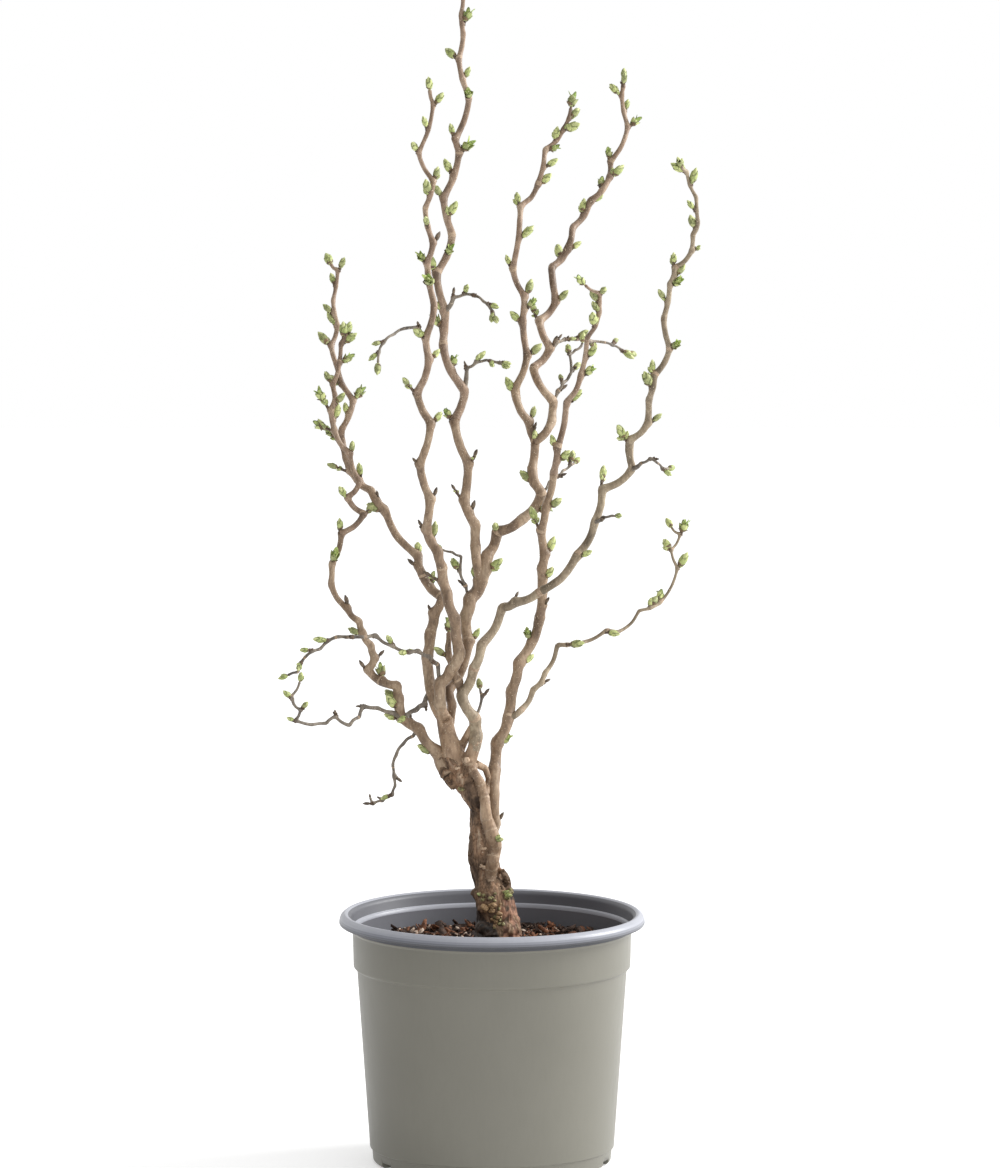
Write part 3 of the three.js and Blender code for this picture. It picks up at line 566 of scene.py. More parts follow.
# Mottled ones: pale and dark colour, roughness, lumps per metre, depth of the bump, and sheen
MOTTLED = {
  "scar_bark": ((180, 158, 133), (142, 119, 98), 0.6, 900),
  "collar_bark": ((112, 92, 74), (72, 58, 48), 0.65, 700, 0.4),
  # Painted shade on the trunk's foot, low in the pot
  "wet_bark": ((80, 65, 54), (32, 26, 22), 0.5, 400, 0.8, 0.5),
  "knob_green": ((164, 156, 110), (94, 86, 58), 0.6, 700, 0.5),
  "knob_tan": ((194, 162, 120), (116, 88, 62), 0.6, 900, 0.7),
  "knob_pale": ((214, 190, 164), (168, 142, 116), 0.6, 500, 0.4),
  "knob_brown": ((122, 98, 76), (70, 54, 42), 0.7, 500, 0.5),
  # Painted shade for the trunk's deepest creases
  "crease_bark": ((86, 68, 54), (50, 38, 30), 0.75, 700, 0.5, 0.2),
  "rust_bark": ((164, 124, 101), (84, 60, 48), 0.7, 300, 0.8, 0.25),
  "bud_green": ((180, 190, 122), (140, 152, 88), 0.42),
  "bud_lime": ((202, 208, 142), (164, 174, 106), 0.42),
  "bud_olive": ((168, 172, 118), (126, 132, 84), 0.45),
  "bud_husk": ((138, 114, 82), (96, 76, 56), 0.5),
  "bud_asleep": ((118, 102, 84), (78, 66, 56), 0.6),
  "bud_edge": ((146, 152, 100), (110, 116, 74), 0.5),
  "bud_tip": ((206, 210, 152), (168, 178, 112), 0.45),
  "bud_asleep_tip": ((92, 80, 62), (60, 50, 40), 0.6),
  "leaf_green": ((172, 192, 108), (126, 152, 74), 0.4, 900, 0.5),
  "leaf_lime": ((196, 208, 132), (158, 176, 96), 0.4, 900, 0.5),
  "leaf_edge": ((144, 160, 92), (106, 122, 68), 0.45, 900, 0.5),
  "compost_dark": ((66, 50, 41), (24, 18, 15), 0.9, 700, 0.8, 0.2),
  "chip_dark": ((84, 64, 53), (34, 25, 21), 0.8, 600, 0.6, 0.25),
  "chip_red": ((140, 94, 66), (78, 48, 34), 0.75, 600, 0.6, 0.25),
  "chip_pale": ((208, 190, 174), (150, 128, 110), 0.75, 600, 0.5, 0.25),
}
# Plastics: pale and dark colour, and roughness. The neck, the rim's lower and side bands and the inner band
# are darker copies as painted shade
PLASTICS = {
  "pot_outside": ((117, 115, 105), (111, 109, 99), 0.42),
  "pot_rim": ((166, 168, 176), (156, 158, 166), 0.34),
  "pot_inside": ((114, 115, 121), (106, 107, 113), 0.45),
  "pot_neck": ((77, 78, 83), (69, 70, 75), 0.5),
  "rim_low": ((112, 114, 121), (104, 106, 113), 0.4),
  "rim_side": ((138, 140, 148), (130, 132, 140), 0.36),
  "pot_band": ((98, 99, 105), (90, 91, 97), 0.45),
}


def spread(values, share):
    """The value at a share of the way along a list of values, evenly spaced."""
    return float(np.interp(share * (len(values) - 1), range(len(values)), values))


def seeded(seed):
    """A function that draws numbers from 0 to 1, the same ones each run."""
    state = [seed]

    def draw():
        state[0] = (state[0] * 16807) % 2147483647
        return state[0] / 2147483647

    return draw


def unit(vector):
    """A direction as a vector of length one."""
    return vector / max(1e-9, float(np.linalg.norm(vector)))


def pushed_back(seen, back):
    """The point that is seen at [across, up], at a distance behind the plane through the pot's axis."""
    down = math.radians(LOOKS_DOWN)
    height = EYE[2] - EYE[1] * math.tan(math.atan((seen[1] * SQUASH - MIDDLE) / FOCAL) - down)
    away = -EYE[1] * math.cos(down) + (EYE[2] - height) * math.sin(down)
    point = np.array([seen[0] * away / FOCAL, 0.0, height])
    return point + (point - EYE) * (back / -EYE[1])


traced = {}


def trace(name, limb):
    """Works out a limb's bends and its path in space, which swings and bows between them."""
    parent = traced[limb["from"][0]] if "from" in limb else None
    seen, back = parent["bends"][limb["from"][1]] if parent else (limb["foot"], limb["back"][0])
    backs = [back, *limb["back"]] if parent else limb["back"]
    bends = [(seen, back)]
    path = [pushed_back(seen, back)]
    for i, (length, lean) in enumerate(limb["walk"]):
        across, up = math.sin(math.radians(lean)), math.cos(math.radians(lean))
        next_seen = [seen[0] + length * across, seen[1] + length * up]
        next_back = spread(backs, (i + 1) / len(limb["walk"]))
        bow = BOW * length * across * up if "buds" in limb else 0
        middle = [(seen[0] + next_seen[0]) / 2 + bow * up, (seen[1] + next_seen[1]) / 2 - bow * across]
        swing = SWING * length * limb.get("hand", 1) * (-1 if i % 2 else 1)
        path.append(pushed_back(middle, (back + next_back) / 2 + swing))
        path.append(pushed_back(next_seen, next_back))
        seen, back = next_seen, next_back
        bends.append((seen, back))
    found = dict(limb, name=name, order=len(traced), bends=bends, path=np.array(path))
    traced[name] = found
    return found


def relief(points, size, seed):
    """Smooth random height from -1 to 1 at each point, with lumps about as large as size."""
    place = np.asarray(points, float) / np.asarray(size, float) + 100.0
    cell = np.floor(place).astype(np.int64)
    part = place - cell
    part = part * part * (3 - 2 * part)
    total = 0.0
    for corner in range(8):
        step = np.array([corner & 1, corner >> 1 & 1, corner >> 2 & 1])
        at = cell + step
        stirred = at[..., 0] * 374761393 + at[..., 1] * 668265263 + at[..., 2] * 1442695041 + seed * 974711
        stirred = (stirred ^ (stirred >> 13)) * 1274126177
        value = ((stirred ^ (stirred >> 16)) & 65535) / 65535.0
        weight = np.prod(np.where(step == 1, part, 1 - part), axis=-1)
        total = total + value * weight
    return total * 2 - 1


def linked(name, data):
    """A new object in the scene."""
    made = bpy.data.objects.new(name, data)
    bpy.context.scene.collection.objects.link(made)
    return made


def meshed(name, points, faces):
    """A new object in the scene with a mesh of its own."""
    mesh = bpy.data.meshes.new(name)
    mesh.from_pydata(np.asarray(points).tolist(), [], faces)
    return linked(name, mesh)


class Bundle:
    """Many small closed shapes that become one joined piece."""

    def __init__(self):
        self.points = []
        self.faces = []
        self.kinds = []
        self.count = 0

    def add(self, points, faces, kind=0):
        """Adds a shape. Its kind is one number, or a list with one for each of its faces."""
        self.points.append(np.asarray(points, float))
        self.faces.extend([tuple(i + self.count for i in face) for face in faces])
        self.kinds.extend([kind] * len(faces) if isinstance(kind, int) else kind)
        self.count += len(points)

    def piece(self, name, materials, slot, replaced=()):
        """The bundle as a piece of the part. Its materials are names, one for each kind of face."""
        piece = meshed(name, np.vstack(self.points) * METRES, self.faces)
        for material in materials:
            piece.data.materials.append(MATERIALS[material])
        piece.data.polygons.foreach_set("material_index", self.kinds)
        piece.data.polygons.foreach_set("use_smooth", [True] * len(self.faces))
        piece.data.validate()
        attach(piece, "root")
        if replaced:
            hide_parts(*replaced)
        return piece


def spun(turn, axis):
    """The turn about one axis, for points that are rows."""
    one, two = [k for k in range(3) if k != axis]
    matrix = np.eye(3)
    matrix[one, one] = matrix[two, two] = math.cos(turn)
    matrix[one, two] = math.sin(turn)
    matrix[two, one] = -math.sin(turn)
    return matrix


def rings(profile, sides):
    """Points of rings about the upright axis, one ring for each (radius, height)."""
    angles = 2 * math.pi * np.arange(sides) / sides
    return [[r * math.cos(a), r * math.sin(a), z] for r, z in profile for a in angles]


def ring_faces(count, sides):
    """Faces of a closed tube of rings."""
    faces = []
    for i in range(count - 1):
        for k in range(sides):
            a = i * sides + k
            b = i * sides + (k + 1) % sides
            faces.append((a, b, b + sides, a + sides))
    faces.append(tuple(reversed(range(sides))))
    faces.append(tuple((count - 1) * sides + k for k in range(sides)))
    return faces


def lathed(profile, sides, goes_down=False):
    """A closed solid turned from an outline of (radius, height) that starts and ends on the axis."""
    points = [[0, 0, profile[0][1]], *rings(profile[1:-1], sides), [0, 0, profile[-1][1]]]
    steps = len(profile) - 3
    last = len(points) - 1
    faces = []
    for k in range(sides):
        a = 1 + k
        b = 1 + (k + 1) % sides
        faces.append((0, b, a))
        for low in range(0, steps * sides, sides):
            faces.append((a + low, b + low, b + low + sides, a + low + sides))
        faces.append((last, a + steps * sides, b + steps * sides))
    if goes_down:
        faces = [face[:1] + face[:0:-1] for face in faces]
    return np.array(points), faces


def ball(centre, radius, squash, seed):
    """A lumpy closed ball for a burr or a knob."""
    turns = [math.pi * i / BALL_ROWS for i in range(1, BALL_ROWS)]
    profile = [(0, -1.0), *[(math.sin(turn), -math.cos(turn)) for turn in turns], (0, 1.0)]
    points, faces = lathed(profile, BALL_SIDES)
    tall, size = BALL_LUMPS
    points = points * (1 + tall * relief(points, size, seed)[:, None]) * radius * np.array([1, 1, squash])
    return points + centre, faces


def frames(points):
    """A sideways and a second direction at each point of a line, turning as little as they can."""
    ways = np.gradient(points, axis=0)
    ways /= np.linalg.norm(ways, axis=1)[:, None]
    side = np.array([0.0, -1.0, 0.2])
    sides = []
    for way in ways:
        side = unit(side - way * side.dot(way))
        sides.append(side)
    sides = np.array(sides)
    return sides, np.cross(ways, sides)


def tube(points, radii, sides, rough=0.0, grain=1.0, seed=0, cushions=()):
    """A closed tube with a relief of lumps and fine wrinkles, and a swelling at each given point."""
    one, two = frames(points)
    angles = 2 * math.pi * np.arange(sides) / sides
    out = one[:, None] * np.cos(angles)[None, :, None] + two[:, None] * np.sin(angles)[None, :, None]
    radii = np.asarray(radii, float)[:, None]
    skin = points[:, None] + out * radii[..., None]
    height = np.zeros(skin.shape[:2])
    if rough:
        lumps = relief(skin, LUMP * grain, seed)
        height += rough * radii * (lumps + WRINKLE_SHARE * relief(skin, WRINKLE * grain, seed + 1))
    for at, tall, wide in cushions:
        height += tall * np.exp(-np.sum((skin - at) ** 2, axis=-1) / wide ** 2)
    skin = skin + out * height[..., None]
    return skin.reshape(-1, 3), ring_faces(len(points), sides)


def smoothed(path, first, last):
    """Points along a path from one of its bends to another, and each one's place in half internodes."""
    ends = np.vstack([2 * path[0] - path[1], path, 2 * path[-1] - path[-2]])
    points = []
    places = []
    for i in range(2 * first, 2 * last):
        p0, p1, p2, p3 = ends[i:i + 4]
        leaves_bend = (4 * p2 - 3 * p1 - p3) / 2
        meets_bend = (3 * p2 - 4 * p1 + p0) / 2
        slope1, slope2 = (p2 - p0) / 2, (p3 - p1) / 2
        if i % 2 == 0:
            slope1 = slope1 + KINK * (leaves_bend - slope1)
        else:
            slope2 = slope2 + KINK * (meets_bend - slope2)
        steps = STEPS + 1 if i == 2 * last - 1 else STEPS
        for k in range(steps):
            u = k / STEPS
            curve = (2 * u ** 3 - 3 * u * u + 1) * p1 + (3 * u * u - 2 * u ** 3) * p2
            points.append(curve + (u ** 3 - 2 * u * u + u) * slope1 + (u ** 3 - u * u) * slope2)
            places.append(i + u)
    return np.array(points), np.array(places)


def measured(points, places):
    """How far along a line each of its points lies, and how far along its bends lie."""
    along = np.concatenate([[0], np.cumsum(np.linalg.norm(np.diff(points, axis=0), axis=1))])
    return along, along[np.abs(places / 2 - np.round(places / 2)) < 1e-6]


def tapered(limb, places):
    """A limb's plain radius at each place."""
    end = len(limb["path"]) - 1
    return np.array([spread(limb["thick"], place / end) / 2 for place in places])


def girths(limb, points, places):
    """Radius at each point: the limb's taper, with a swollen knuckle and two scars at each bend."""
    radii = tapered(limb, places)
    along, bends = measured(points, places)
    swelling = np.zeros(len(points))
    for bend in bends:
        gap = along - bend
        swelling += KNUCKLE * np.exp(-(gap / (KNUCKLE_LONG + radii)) ** 2)
        for tall, at in SCARS:
            swelling += tall * np.exp(-((gap - at) / SCAR_WIDE) ** 2)
    return radii * (1 + swelling)


def scar_rings(points, places):
    """The rings of a tube that lie on the scars just above its bends."""
    along, bends = measured(points, places)
    return [int(np.argmin(np.abs(along[:-1] - bend - SCAR_ABOVE))) for bend in bends[:-1]]


def buds_of(limb):
    """A limb's buds, as its letters say, and one at its tip: base, direction, length and spur."""
    draw = seeded(SEED + 97 * limb["order"])
    path = limb["path"]
    end = len(path) - 1
    found = []
    for i in range(1, end + 1):
        sideways, tip, size = draw(), draw(), draw()
        letter = "t" if i == end else limb["buds"][i - 1]
        if letter == "-":
            continue
        way = unit(path[min(i + 1, end)] - path[i - 1])
        outward = np.array(SIDES[letter.lower()], float)
        outward[1] += (sideways - 0.5) * BUD_SCATTER
        outward = unit(outward - way * outward.dot(way))
        tilt = math.radians(TIP_TILT if i == end else LEAST_TILT + TILT_SPREAD * tip)
        radius = spread(limb["thick"], i / end) / 2
        grown = spread(BUD_GROWTH, size) * (TWIG_BUD if limb["name"] in TWIGS else 1)
        found.append({
            "base": path[i] + outward * (0 if i == end else radius * BUD_SUNK),
            "axis": unit(way * math.cos(tilt) + outward * math.sin(tilt)),
            "out": outward, "long": BUD_LONG * grown, "spur": SPUR_LONG if letter < "a" else 0,
            "girth": radius, "place": i / 2, "tip": i == end,
        })
    return found


def turned_to(points, base, axis, spin):
    """Points of a small upright shape, set at base with its height along axis."""
    one = unit(np.cross(axis, [0.3, 0.2, 0.9]))
    return base + points @ spun(spin, 2) @ np.array([one, np.cross(axis, one), axis])


def bud_core():
    """The smooth heart of a bud of unit length."""
    profile = [(float(np.interp(height, BUD_HEIGHTS, BUD_WIDTHS)), height) for height in CORE_HEIGHTS]
    return np.array(rings(profile, CORE_SIDES)), ring_faces(len(profile), CORE_SIDES)


def lens(rows, columns, at):
    """A thin closed shape between two grids. at(row, column) gives its outer and its inner point."""
    pairs = [at(i, j) for i in range(rows) for j in range(columns)]
    points = np.array([outer for outer, _ in pairs] + [inner for _, inner in pairs])
    shift = len(pairs)
    faces = []
    for i in range(rows - 1):
        for k in range(columns - 1):
            a = i * columns + k
            faces.append((a, a + 1, a + columns + 1, a + columns))
            faces.append((a + shift, a + columns + shift, a + columns + 1 + shift, a + 1 + shift))
    edge = list(range(columns))
    edge += [i * columns + columns - 1 for i in range(1, rows)]
    edge += [(rows - 1) * columns + k for k in range(columns - 2, -1, -1)]
    edge += [i * columns for i in range(rows - 2, 0, -1)]
    for a, b in zip(edge, edge[1:] + edge[:1]):
        faces.append((b, a, a + shift, b + shift))
    return points, faces


def edged(rows, columns, middle, edge):
    """A kind for each face of a lens: one for its middle, and one for its sides, its end and its rim."""
    kinds = []
    for i in range(rows - 1):
        for k in range(columns - 1):
            is_edge = k in (0, columns - 2) or i == rows - 2
            kinds += [edge if is_edge else middle, middle]
    return kinds + [edge] * (2 * (rows + columns) - 4)


def bud_scale(k, splay):
    """The k-th scale of a bud: broad and short at its foot, and longer and narrower towards its tip."""
    low = 0.02 + 0.035 * k
    high = 0.2 + 0.06 * k if k < HUSKS else 0.34 + 0.085 * k
    half = math.radians(82 - 4 * k)

    def at(i, j):
        v = i / (SCALE_ROWS - 1)
        u = 2 * j / (SCALE_COLUMNS - 1) - 1
        height = low + (high - low) * v
        stand = (0.014 + 0.012 * v + splay * v * v * 0.12) * (1 - 0.35 * u * u)
        reach = float(np.interp(height, BUD_HEIGHTS, BUD_WIDTHS)) + stand
        angle = SCALE_TURN * k + u * (half * (1 - v ** 2.6) ** 0.8 + 0.04)
        droop = height - 0.03 * u * u * v
        inner = max(0.0, reach - SCALE_THICK)
        return ([reach * math.cos(angle), reach * math.sin(angle), droop],
                [inner * math.cos(angle), inner * math.sin(angle), droop - 0.005])

    return lens(SCALE_ROWS, SCALE_COLUMNS, at)


def leaf_blade(long, wide, curl, seed):
    """A young leaf, pleated along its veins and curling outwards from the bud."""
    twist = (seeded(seed)() - 0.5) * 0.6

    def at(i, j):
        v = i / (LEAF_ROWS - 1)
        u = 2 * j / (LEAF_COLUMNS - 1) - 1
        half = wide / 2 * spread(LEAF_WIDTHS, v)
        lean = curl * v * v
        fold = 0.28 * half * abs(u) + (0.12 if j % 2 else -0.05) * wide / 3
        outer = np.array([
            long * lean * 0.55 - fold, half * u * math.cos(twist * v),
            long * (v - 0.22 * lean) + half * u * math.sin(twist * v),
        ])
        return outer, outer - [LEAF_THICK, 0, 0]

    return lens(LEAF_ROWS, LEAF_COLUMNS, at)


def linear(colour):
    """A colour given in screen values from 0 to 255, as the shader's linear light."""
    values = [v / 255 for v in colour]
    return [v / 12.92 if v <= 0.04045 else ((v + 0.055) / 1.055) ** 2.4 for v in values] + [1.0]


def wire(tree, made, sockets):
    """Fills a node's sockets: another node's output is linked, and any other value is set."""
    for socket, value in sockets.items():
        if isinstance(value, bpy.types.NodeSocket):
            tree.links.new(value, made.inputs[socket])
        else:
            made.inputs[socket].default_value = value


def node(tree, kind, sockets):
    """A new shader node with its sockets filled."""
    made = tree.nodes.new("ShaderNode" + kind)
    wire(tree, made, sockets)
    return made


def shader(name, roughness, specular=0.5):
    """A new material, its node tree and its principled shader."""
    material = bpy.data.materials.new(name)
    material.use_nodes = True
    tree = material.node_tree
    shade = tree.nodes["Principled BSDF"]
    wire(tree, shade, {"Roughness": roughness, "Specular IOR Level": specular})
    return material, tree, shade


def noise(tree, per_metre, detail, along=1.0, distortion=0.0):
    """A cloudy pattern with so many lumps to the metre, drawn out upwards where along is below 1."""
    place = node(tree, "TexCoord", {}).outputs["Object"]
    stretched = node(tree, "Mapping", {"Vector": place, "Scale": (1, 1, along)}).outputs["Vector"]
    sockets = {"Vector": stretched, "Scale": per_metre, "Detail": detail, "Distortion": distortion}
    return node(tree, "TexNoise", sockets).outputs["Fac"]


def ramp(tree, source, stops):
    """Colours by height of a pattern: [(place, colour), ...]."""
    made = node(tree, "ValToRGB", {"Fac": source})
    while len(made.color_ramp.elements) < len(stops):
        made.color_ramp.elements.new(0.5)
    for element, (place, colour) in zip(made.color_ramp.elements, stops):
        element.position = place
        element.color = linear(colour)
    return made.outputs["Color"]


def mixed(tree, share, first, second, blend="MIX"):
    """Two colours mixed. Each of them, and the share, is a value or another node's output."""
    made = node(tree, "Mix", {})
    made.data_type = "RGBA"
    made.blend_type = blend
    wire(tree, made, {MIX_SHARE: share, MIX_FIRST: first, MIX_SECOND: second})
    return made.outputs[MIX_RESULT]


def finish(tree, shade, colour, height, strength, distance):
    """Gives a material its colour and its relief."""
    raised = node(tree, "Bump", {"Height": height, "Strength": strength, "Distance": distance})
    wire(tree, shade, {"Base Color": colour, "Normal": raised.outputs["Normal"]})


def bark(name, pale, middle, dark, roughness):
    """Young hazel bark: silky, mottled along the stem, and dotted with pale breathing pores."""
    material, tree, shade = shader(name, roughness, 0.35)
    fine = noise(tree, 620, 4, 0.35, 0.4)
    colour = ramp(tree, noise(tree, 95, 5, 0.45), [(0.3, dark), (0.5, middle), (0.7, pale)])
    streaks = ramp(tree, fine, [(0.35, (150, 140, 132)), (0.6, WHITE)])
    colour = mixed(tree, 0.45, colour, streaks, "MULTIPLY")
    dots = ramp(tree, noise(tree, 1500, 1, 0.6), [(0.69, BLACK), (0.73, WHITE)])
    finish(tree, shade, mixed(tree, dots, colour, linear(PORES)), fine, 0.35, 0.0004)
    return material


def old_bark(name):
    """The flaking bark of the trunk, with orange tan where flakes have come away."""
    material, tree, shade = shader(name, 0.72, 0.25)
    fine = noise(tree, 800, 6, 0.5, 0.5)
    colour = ramp(tree, noise(tree, 130, 8, 0.35, 0.8), OLD_BARK)
    grime = ramp(tree, fine, [(0.35, (110, 98, 88)), (0.62, WHITE)])
    finish(tree, shade, mixed(tree, 0.6, colour, grime, "MULTIPLY"), fine, 0.6, 0.0006)
    return material


def mottled(name, pale, dark, roughness, per_metre=400, strength=0.2, specular=0.4):
    """A plain uneven skin of two shades."""
    material, tree, shade = shader(name, roughness, specular)
    pattern = noise(tree, per_metre, 5)
    finish(tree, shade, ramp(tree, pattern, [(0.35, dark), (0.65, pale)]), pattern, strength, 0.0003)
    return material


def plastic(name, pale, dark, roughness):
    """Moulded recycled plastic: satin, faintly clouded, with fine scuffs."""
    material, tree, shade = shader(name, roughness)
    scuff = noise(tree, 260, 8, 0.25, 1.2)
    colour = ramp(tree, noise(tree, 9, 3), [(0.35, dark), (0.68, pale)])
    marks = ramp(tree, scuff, [(0.3, (243, 243, 241)), (0.6, WHITE)])
    sheen = {"Value": scuff, "To Min": roughness - 0.06, "To Max": roughness + 0.1}
    wire(tree, shade, {"Roughness": node(tree, "MapRange", sheen).outputs["Result"]})
    colour = mixed(tree, 0.3, colour, marks, "MULTIPLY")
    finish(tree, shade, colour, noise(tree, 1400, 2), 0.05, 0.0002)
    return material


for name, limb in [*LIMBS.items(), *TWIGS.items()]:
    trace(name, limb)
WOOD = dict(traced)
BUDS = {name: buds_of(limb) for name, limb in WOOD.items()}
CORE = bud_core()
SCALES = {splay: [bud_scale(k, splay) for k in range(SCALE_COUNT)] for splay in SPLAYS}

boughs = Bundle()
shoots = Bundle()
twiglets = Bundle()
scales = {"left": Bundle(), "middle": Bundle(), "right": Bundle()}
cores = Bundle()
leaves = Bundle()


def cushions_of(name, first, last):
    """The swellings under a limb's buds between two of its bends, for a tube."""
    found = []
    for bud in BUDS[name]:
        if not bud["tip"] and first <= bud["place"] <= last:
            tall, wide = (plain + share * bud["girth"] for plain, share in (CUSHION_TALL, CUSHION_WIDE))
            found.append((bud["base"], tall, wide))
    return found


def add_wood():
    """Every bough, shoot and thin twig as a tube, with a cushion under each of its buds."""
    draw = seeded(SEED + 3)
    for name, limb in WOOD.items():
        last = len(limb["walk"])
        cut = limb.get("mass", last) if name in LIMBS else 0
        thin = twiglets if name in TWIGS else shoots
        for first, end, bundle, sides in ((0, cut, boughs, BOUGH_SIDES), (cut, last, thin, TWIG_SIDES)):
            if first == end:
                continue
            points, places = smoothed(limb["path"], first, end)
            radii = girths(limb, points, places)
            if first == 0 and name in ROOTED:
                radii = radii * np.clip(ROOT_SLIM + ROOT_GAIN * places, ROOT_SLIM, 1)
            if end == last:
                radii = radii * np.clip((len(radii) - np.arange(len(radii))) / TIP_STEPS, TIP_LEAST, 1)
            if "_on_" in name:
                radii = radii * np.interp(places, FLARE_PLACES, FLARES)
            cushions = cushions_of(name, first, end)
            skin, faces = tube(points, radii, sides, STEM_ROUGH, 1.0, 31 * limb["order"], cushions)
            kinds = [OLIVE_KIND if name in OLIVE else 0] * len(faces)
            for ring in scar_rings(points, places):
                if draw() < SCAR_SHARE:
                    kinds[(ring - 1) * sides:(ring + 1) * sides] = [SCAR_KIND] * sides * 2
            bundle.add(skin, faces, kinds)


def room(root, way):
    """How far a line can run before it leaves the box of the part's own solids."""
    ends = np.where(way > 0, BOX_HIGH, BOX_LOW)
    return min((ends[k] - root[k]) / way[k] for k in range(3) if abs(way[k]) > 0.05)


def side_of(root):
    """The third of the crown that a point lies in."""
    return "left" if root[0] < -THIRD else "right" if root[0] > THIRD else "middle"


def add_small(bundle, shape, root, way, spin, kinds):
    """Adds a small shape of the crown, turned to its place and kept inside the box of the solids."""
    points, faces = shape
    bundle.add(np.clip(turned_to(points, root, way, spin), BOX_LOW, BOX_HIGH), faces, kinds)


def add_head(root, way, size, draw, state):
    """A bud's core in its lapping scales: asleep, shut, or open with its first leaves standing out."""
    space = room(root, way)
    size = min(size, space)
    is_asleep = state == ASLEEP
    is_leafy = state == LEAFY and space > LEAFY_ROOM * size
    splay = SPLAYS[0] if is_asleep else SPLAYS[-1] if is_leafy else SPLAYS[int(draw() * SHUT_SPLAYS)]
    spin = draw() * 2 * math.pi
    plump = spread(ASLEEP_PLUMP if is_asleep else PLUMP, draw())
    stretch = np.array([size * plump, size * plump, size])
    hue = DORMANT_KIND if is_asleep else int(draw() * 3)
    heart = CORE[0] * stretch * (LEAFY_CORE if is_leafy else 1)
    add_small(cores, (heart, CORE[1]), root, way, spin, int(is_asleep))
    for k, (points, faces) in enumerate(SCALES[splay][:LEAFY_SCALES if is_leafy else SCALE_COUNT]):
        middle = HUSK_KIND if k < HUSKS and not is_asleep else hue
        edge = DORMANT_KIND if k < HUSKS or is_asleep else EDGE_KIND
        kinds = edged(SCALE_ROWS, SCALE_COLUMNS, middle, edge)
        add_small(scales[side_of(root)], (points * stretch, faces), root, way, spin, kinds)
    if not is_leafy:
        return
    for _ in range(3 + int(draw() * 2)):
        long = size * spread(LEAF_LONG, draw())
        wide = spread(LEAF_WIDE, draw())
        curl = spread(LEAF_CURL, draw())
        points, faces = leaf_blade(long, wide, curl, int(1 + draw() * 9000))
        spin += math.radians(spread(LEAF_TURN, draw()))
        kinds = edged(LEAF_ROWS, LEAF_COLUMNS, int(draw() * 2), LEAF_EDGE_KIND)
        blade = (points + [LEAF_OUT * size, 0, 0], faces)
        add_small(leaves, blade, root + way * size * LEAF_UP, way, spin, kinds)


def add_stalk(bud, reach, draw):
    """The collar or spur that a bud stands on, with sleeping nubs beside it here and there."""
    base, axis, out = bud["base"], bud["axis"], bud["out"]
    shares = np.linspace(COLLAR_FROM, 1, len(COLLAR_SHAPE))
    line = np.array([base + axis * reach * share for share in shares])
    thick = SPUR_THICK / 2 if bud["spur"] else COLLAR_THICK / 2
    radii = thick * np.array(COLLAR_SHAPE)
    twiglets.add(*tube(line, radii, SPUR_SIDES, SPUR_ROUGH, SPUR_GRAIN, int(draw() * 1000)), COLLAR_KIND)
    across = unit(np.cross(axis, out))
    for turn in (1, -1):
        if draw() < NUB_SHARE:
            lean = unit(axis + turn * across * spread(NUB_LEAN, draw()) + out * (draw() - 0.3))
            nub = CORE[0] * NUB_SHAPE * NUB_LONG * spread(NUB_GROWTH, draw())
            add_small(cores, (nub, CORE[1]), base + axis * reach * NUB_PLACE, lean, 0, 1)


def add_bud(bud, draw, is_dormant):
    """One bud on its stalk, with smaller ones beside it on a spur and here and there elsewhere."""
    base, axis = bud["base"], bud["axis"]
    long = bud["long"] * (DORMANT_SIZE if is_dormant else 1)
    reach = bud["spur"] + (0 if bud["tip"] else COLLAR_LONG * spread(COLLAR_GROWTH, draw()))
    if reach:
        add_stalk(bud, reach, draw)
    state = ASLEEP if is_dormant else SHUT
    if not is_dormant and draw() < LEAFY_SHARE and long > LEAFY_SIZE * BUD_LONG:
        state = LEAFY
    add_head(base + axis * reach, axis, long * HEAD_GROWTH - HEAD_SUNK, draw, state)
    side = unit(np.cross(axis, [draw() - 0.5, draw() - 0.5, draw() - 0.5]))
    if bud["spur"]:
        for turn in (1, -1):
            lean = unit(axis + side * turn * spread(SPUR_LEAN, draw()))
            foot = base + axis * reach * spread(SPUR_PLACE, draw())
            add_head(foot, lean, long * spread(SPUR_HEAD, draw()), draw, SHUT)
    elif draw() < TWIN_SHARE and not is_dormant:
        lean = unit(axis + side * spread(TWIN_LEAN, draw()))
        foot = base + axis * reach * TWIN_PLACE
        add_head(foot, lean, long * spread(TWIN_HEAD, draw()), draw, SHUT)


def add_buds():
    """All buds. Those low on the wood have more often stayed asleep, small and dark."""
    for name, found in BUDS.items():
        draw = seeded(SEED + 31 + 53 * WOOD[name]["order"])
        for bud in found:
            asleep = float(np.interp(bud["base"][2], ASLEEP_HEIGHTS, ASLEEP_SHARES))
            is_dormant = draw() < asleep and not bud["tip"]
            dozes = name == DOZING_TWIG and bud["place"] >= DOZES_FROM
            add_bud(bud, draw, is_dormant or dozes)


def remeshed(parts):
    """Closed shapes melted into one skin of small faces: its points, quads and outward directions."""
    bundle = Bundle()
    for points, faces in parts:
        bundle.add(points, faces)
    raw = meshed("raw", np.vstack(bundle.points), bundle.faces)
    melt = raw.modifiers.new("melt", "REMESH")
    melt.mode = "VOXEL"
    melt.voxel_size = TRUNK_VOXEL
    ease = raw.modifiers.new("ease", "SMOOTH")
    ease.factor = 0.5
    ease.iterations = TRUNK_EASING
    done = raw.evaluated_get(bpy.context.evaluated_depsgraph_get()).to_mesh()
    points = np.zeros(len(done.vertices) * 3)
    done.vertices.foreach_get("co", points)
    normals = np.zeros(len(done.vertices) * 3)
    done.vertices.foreach_get("normal", normals)
    faces = [tuple(face.vertices) for face in done.polygons]
    bpy.data.objects.remove(raw)
    return points.reshape(-1, 3), faces, normals.reshape(-1, 3)


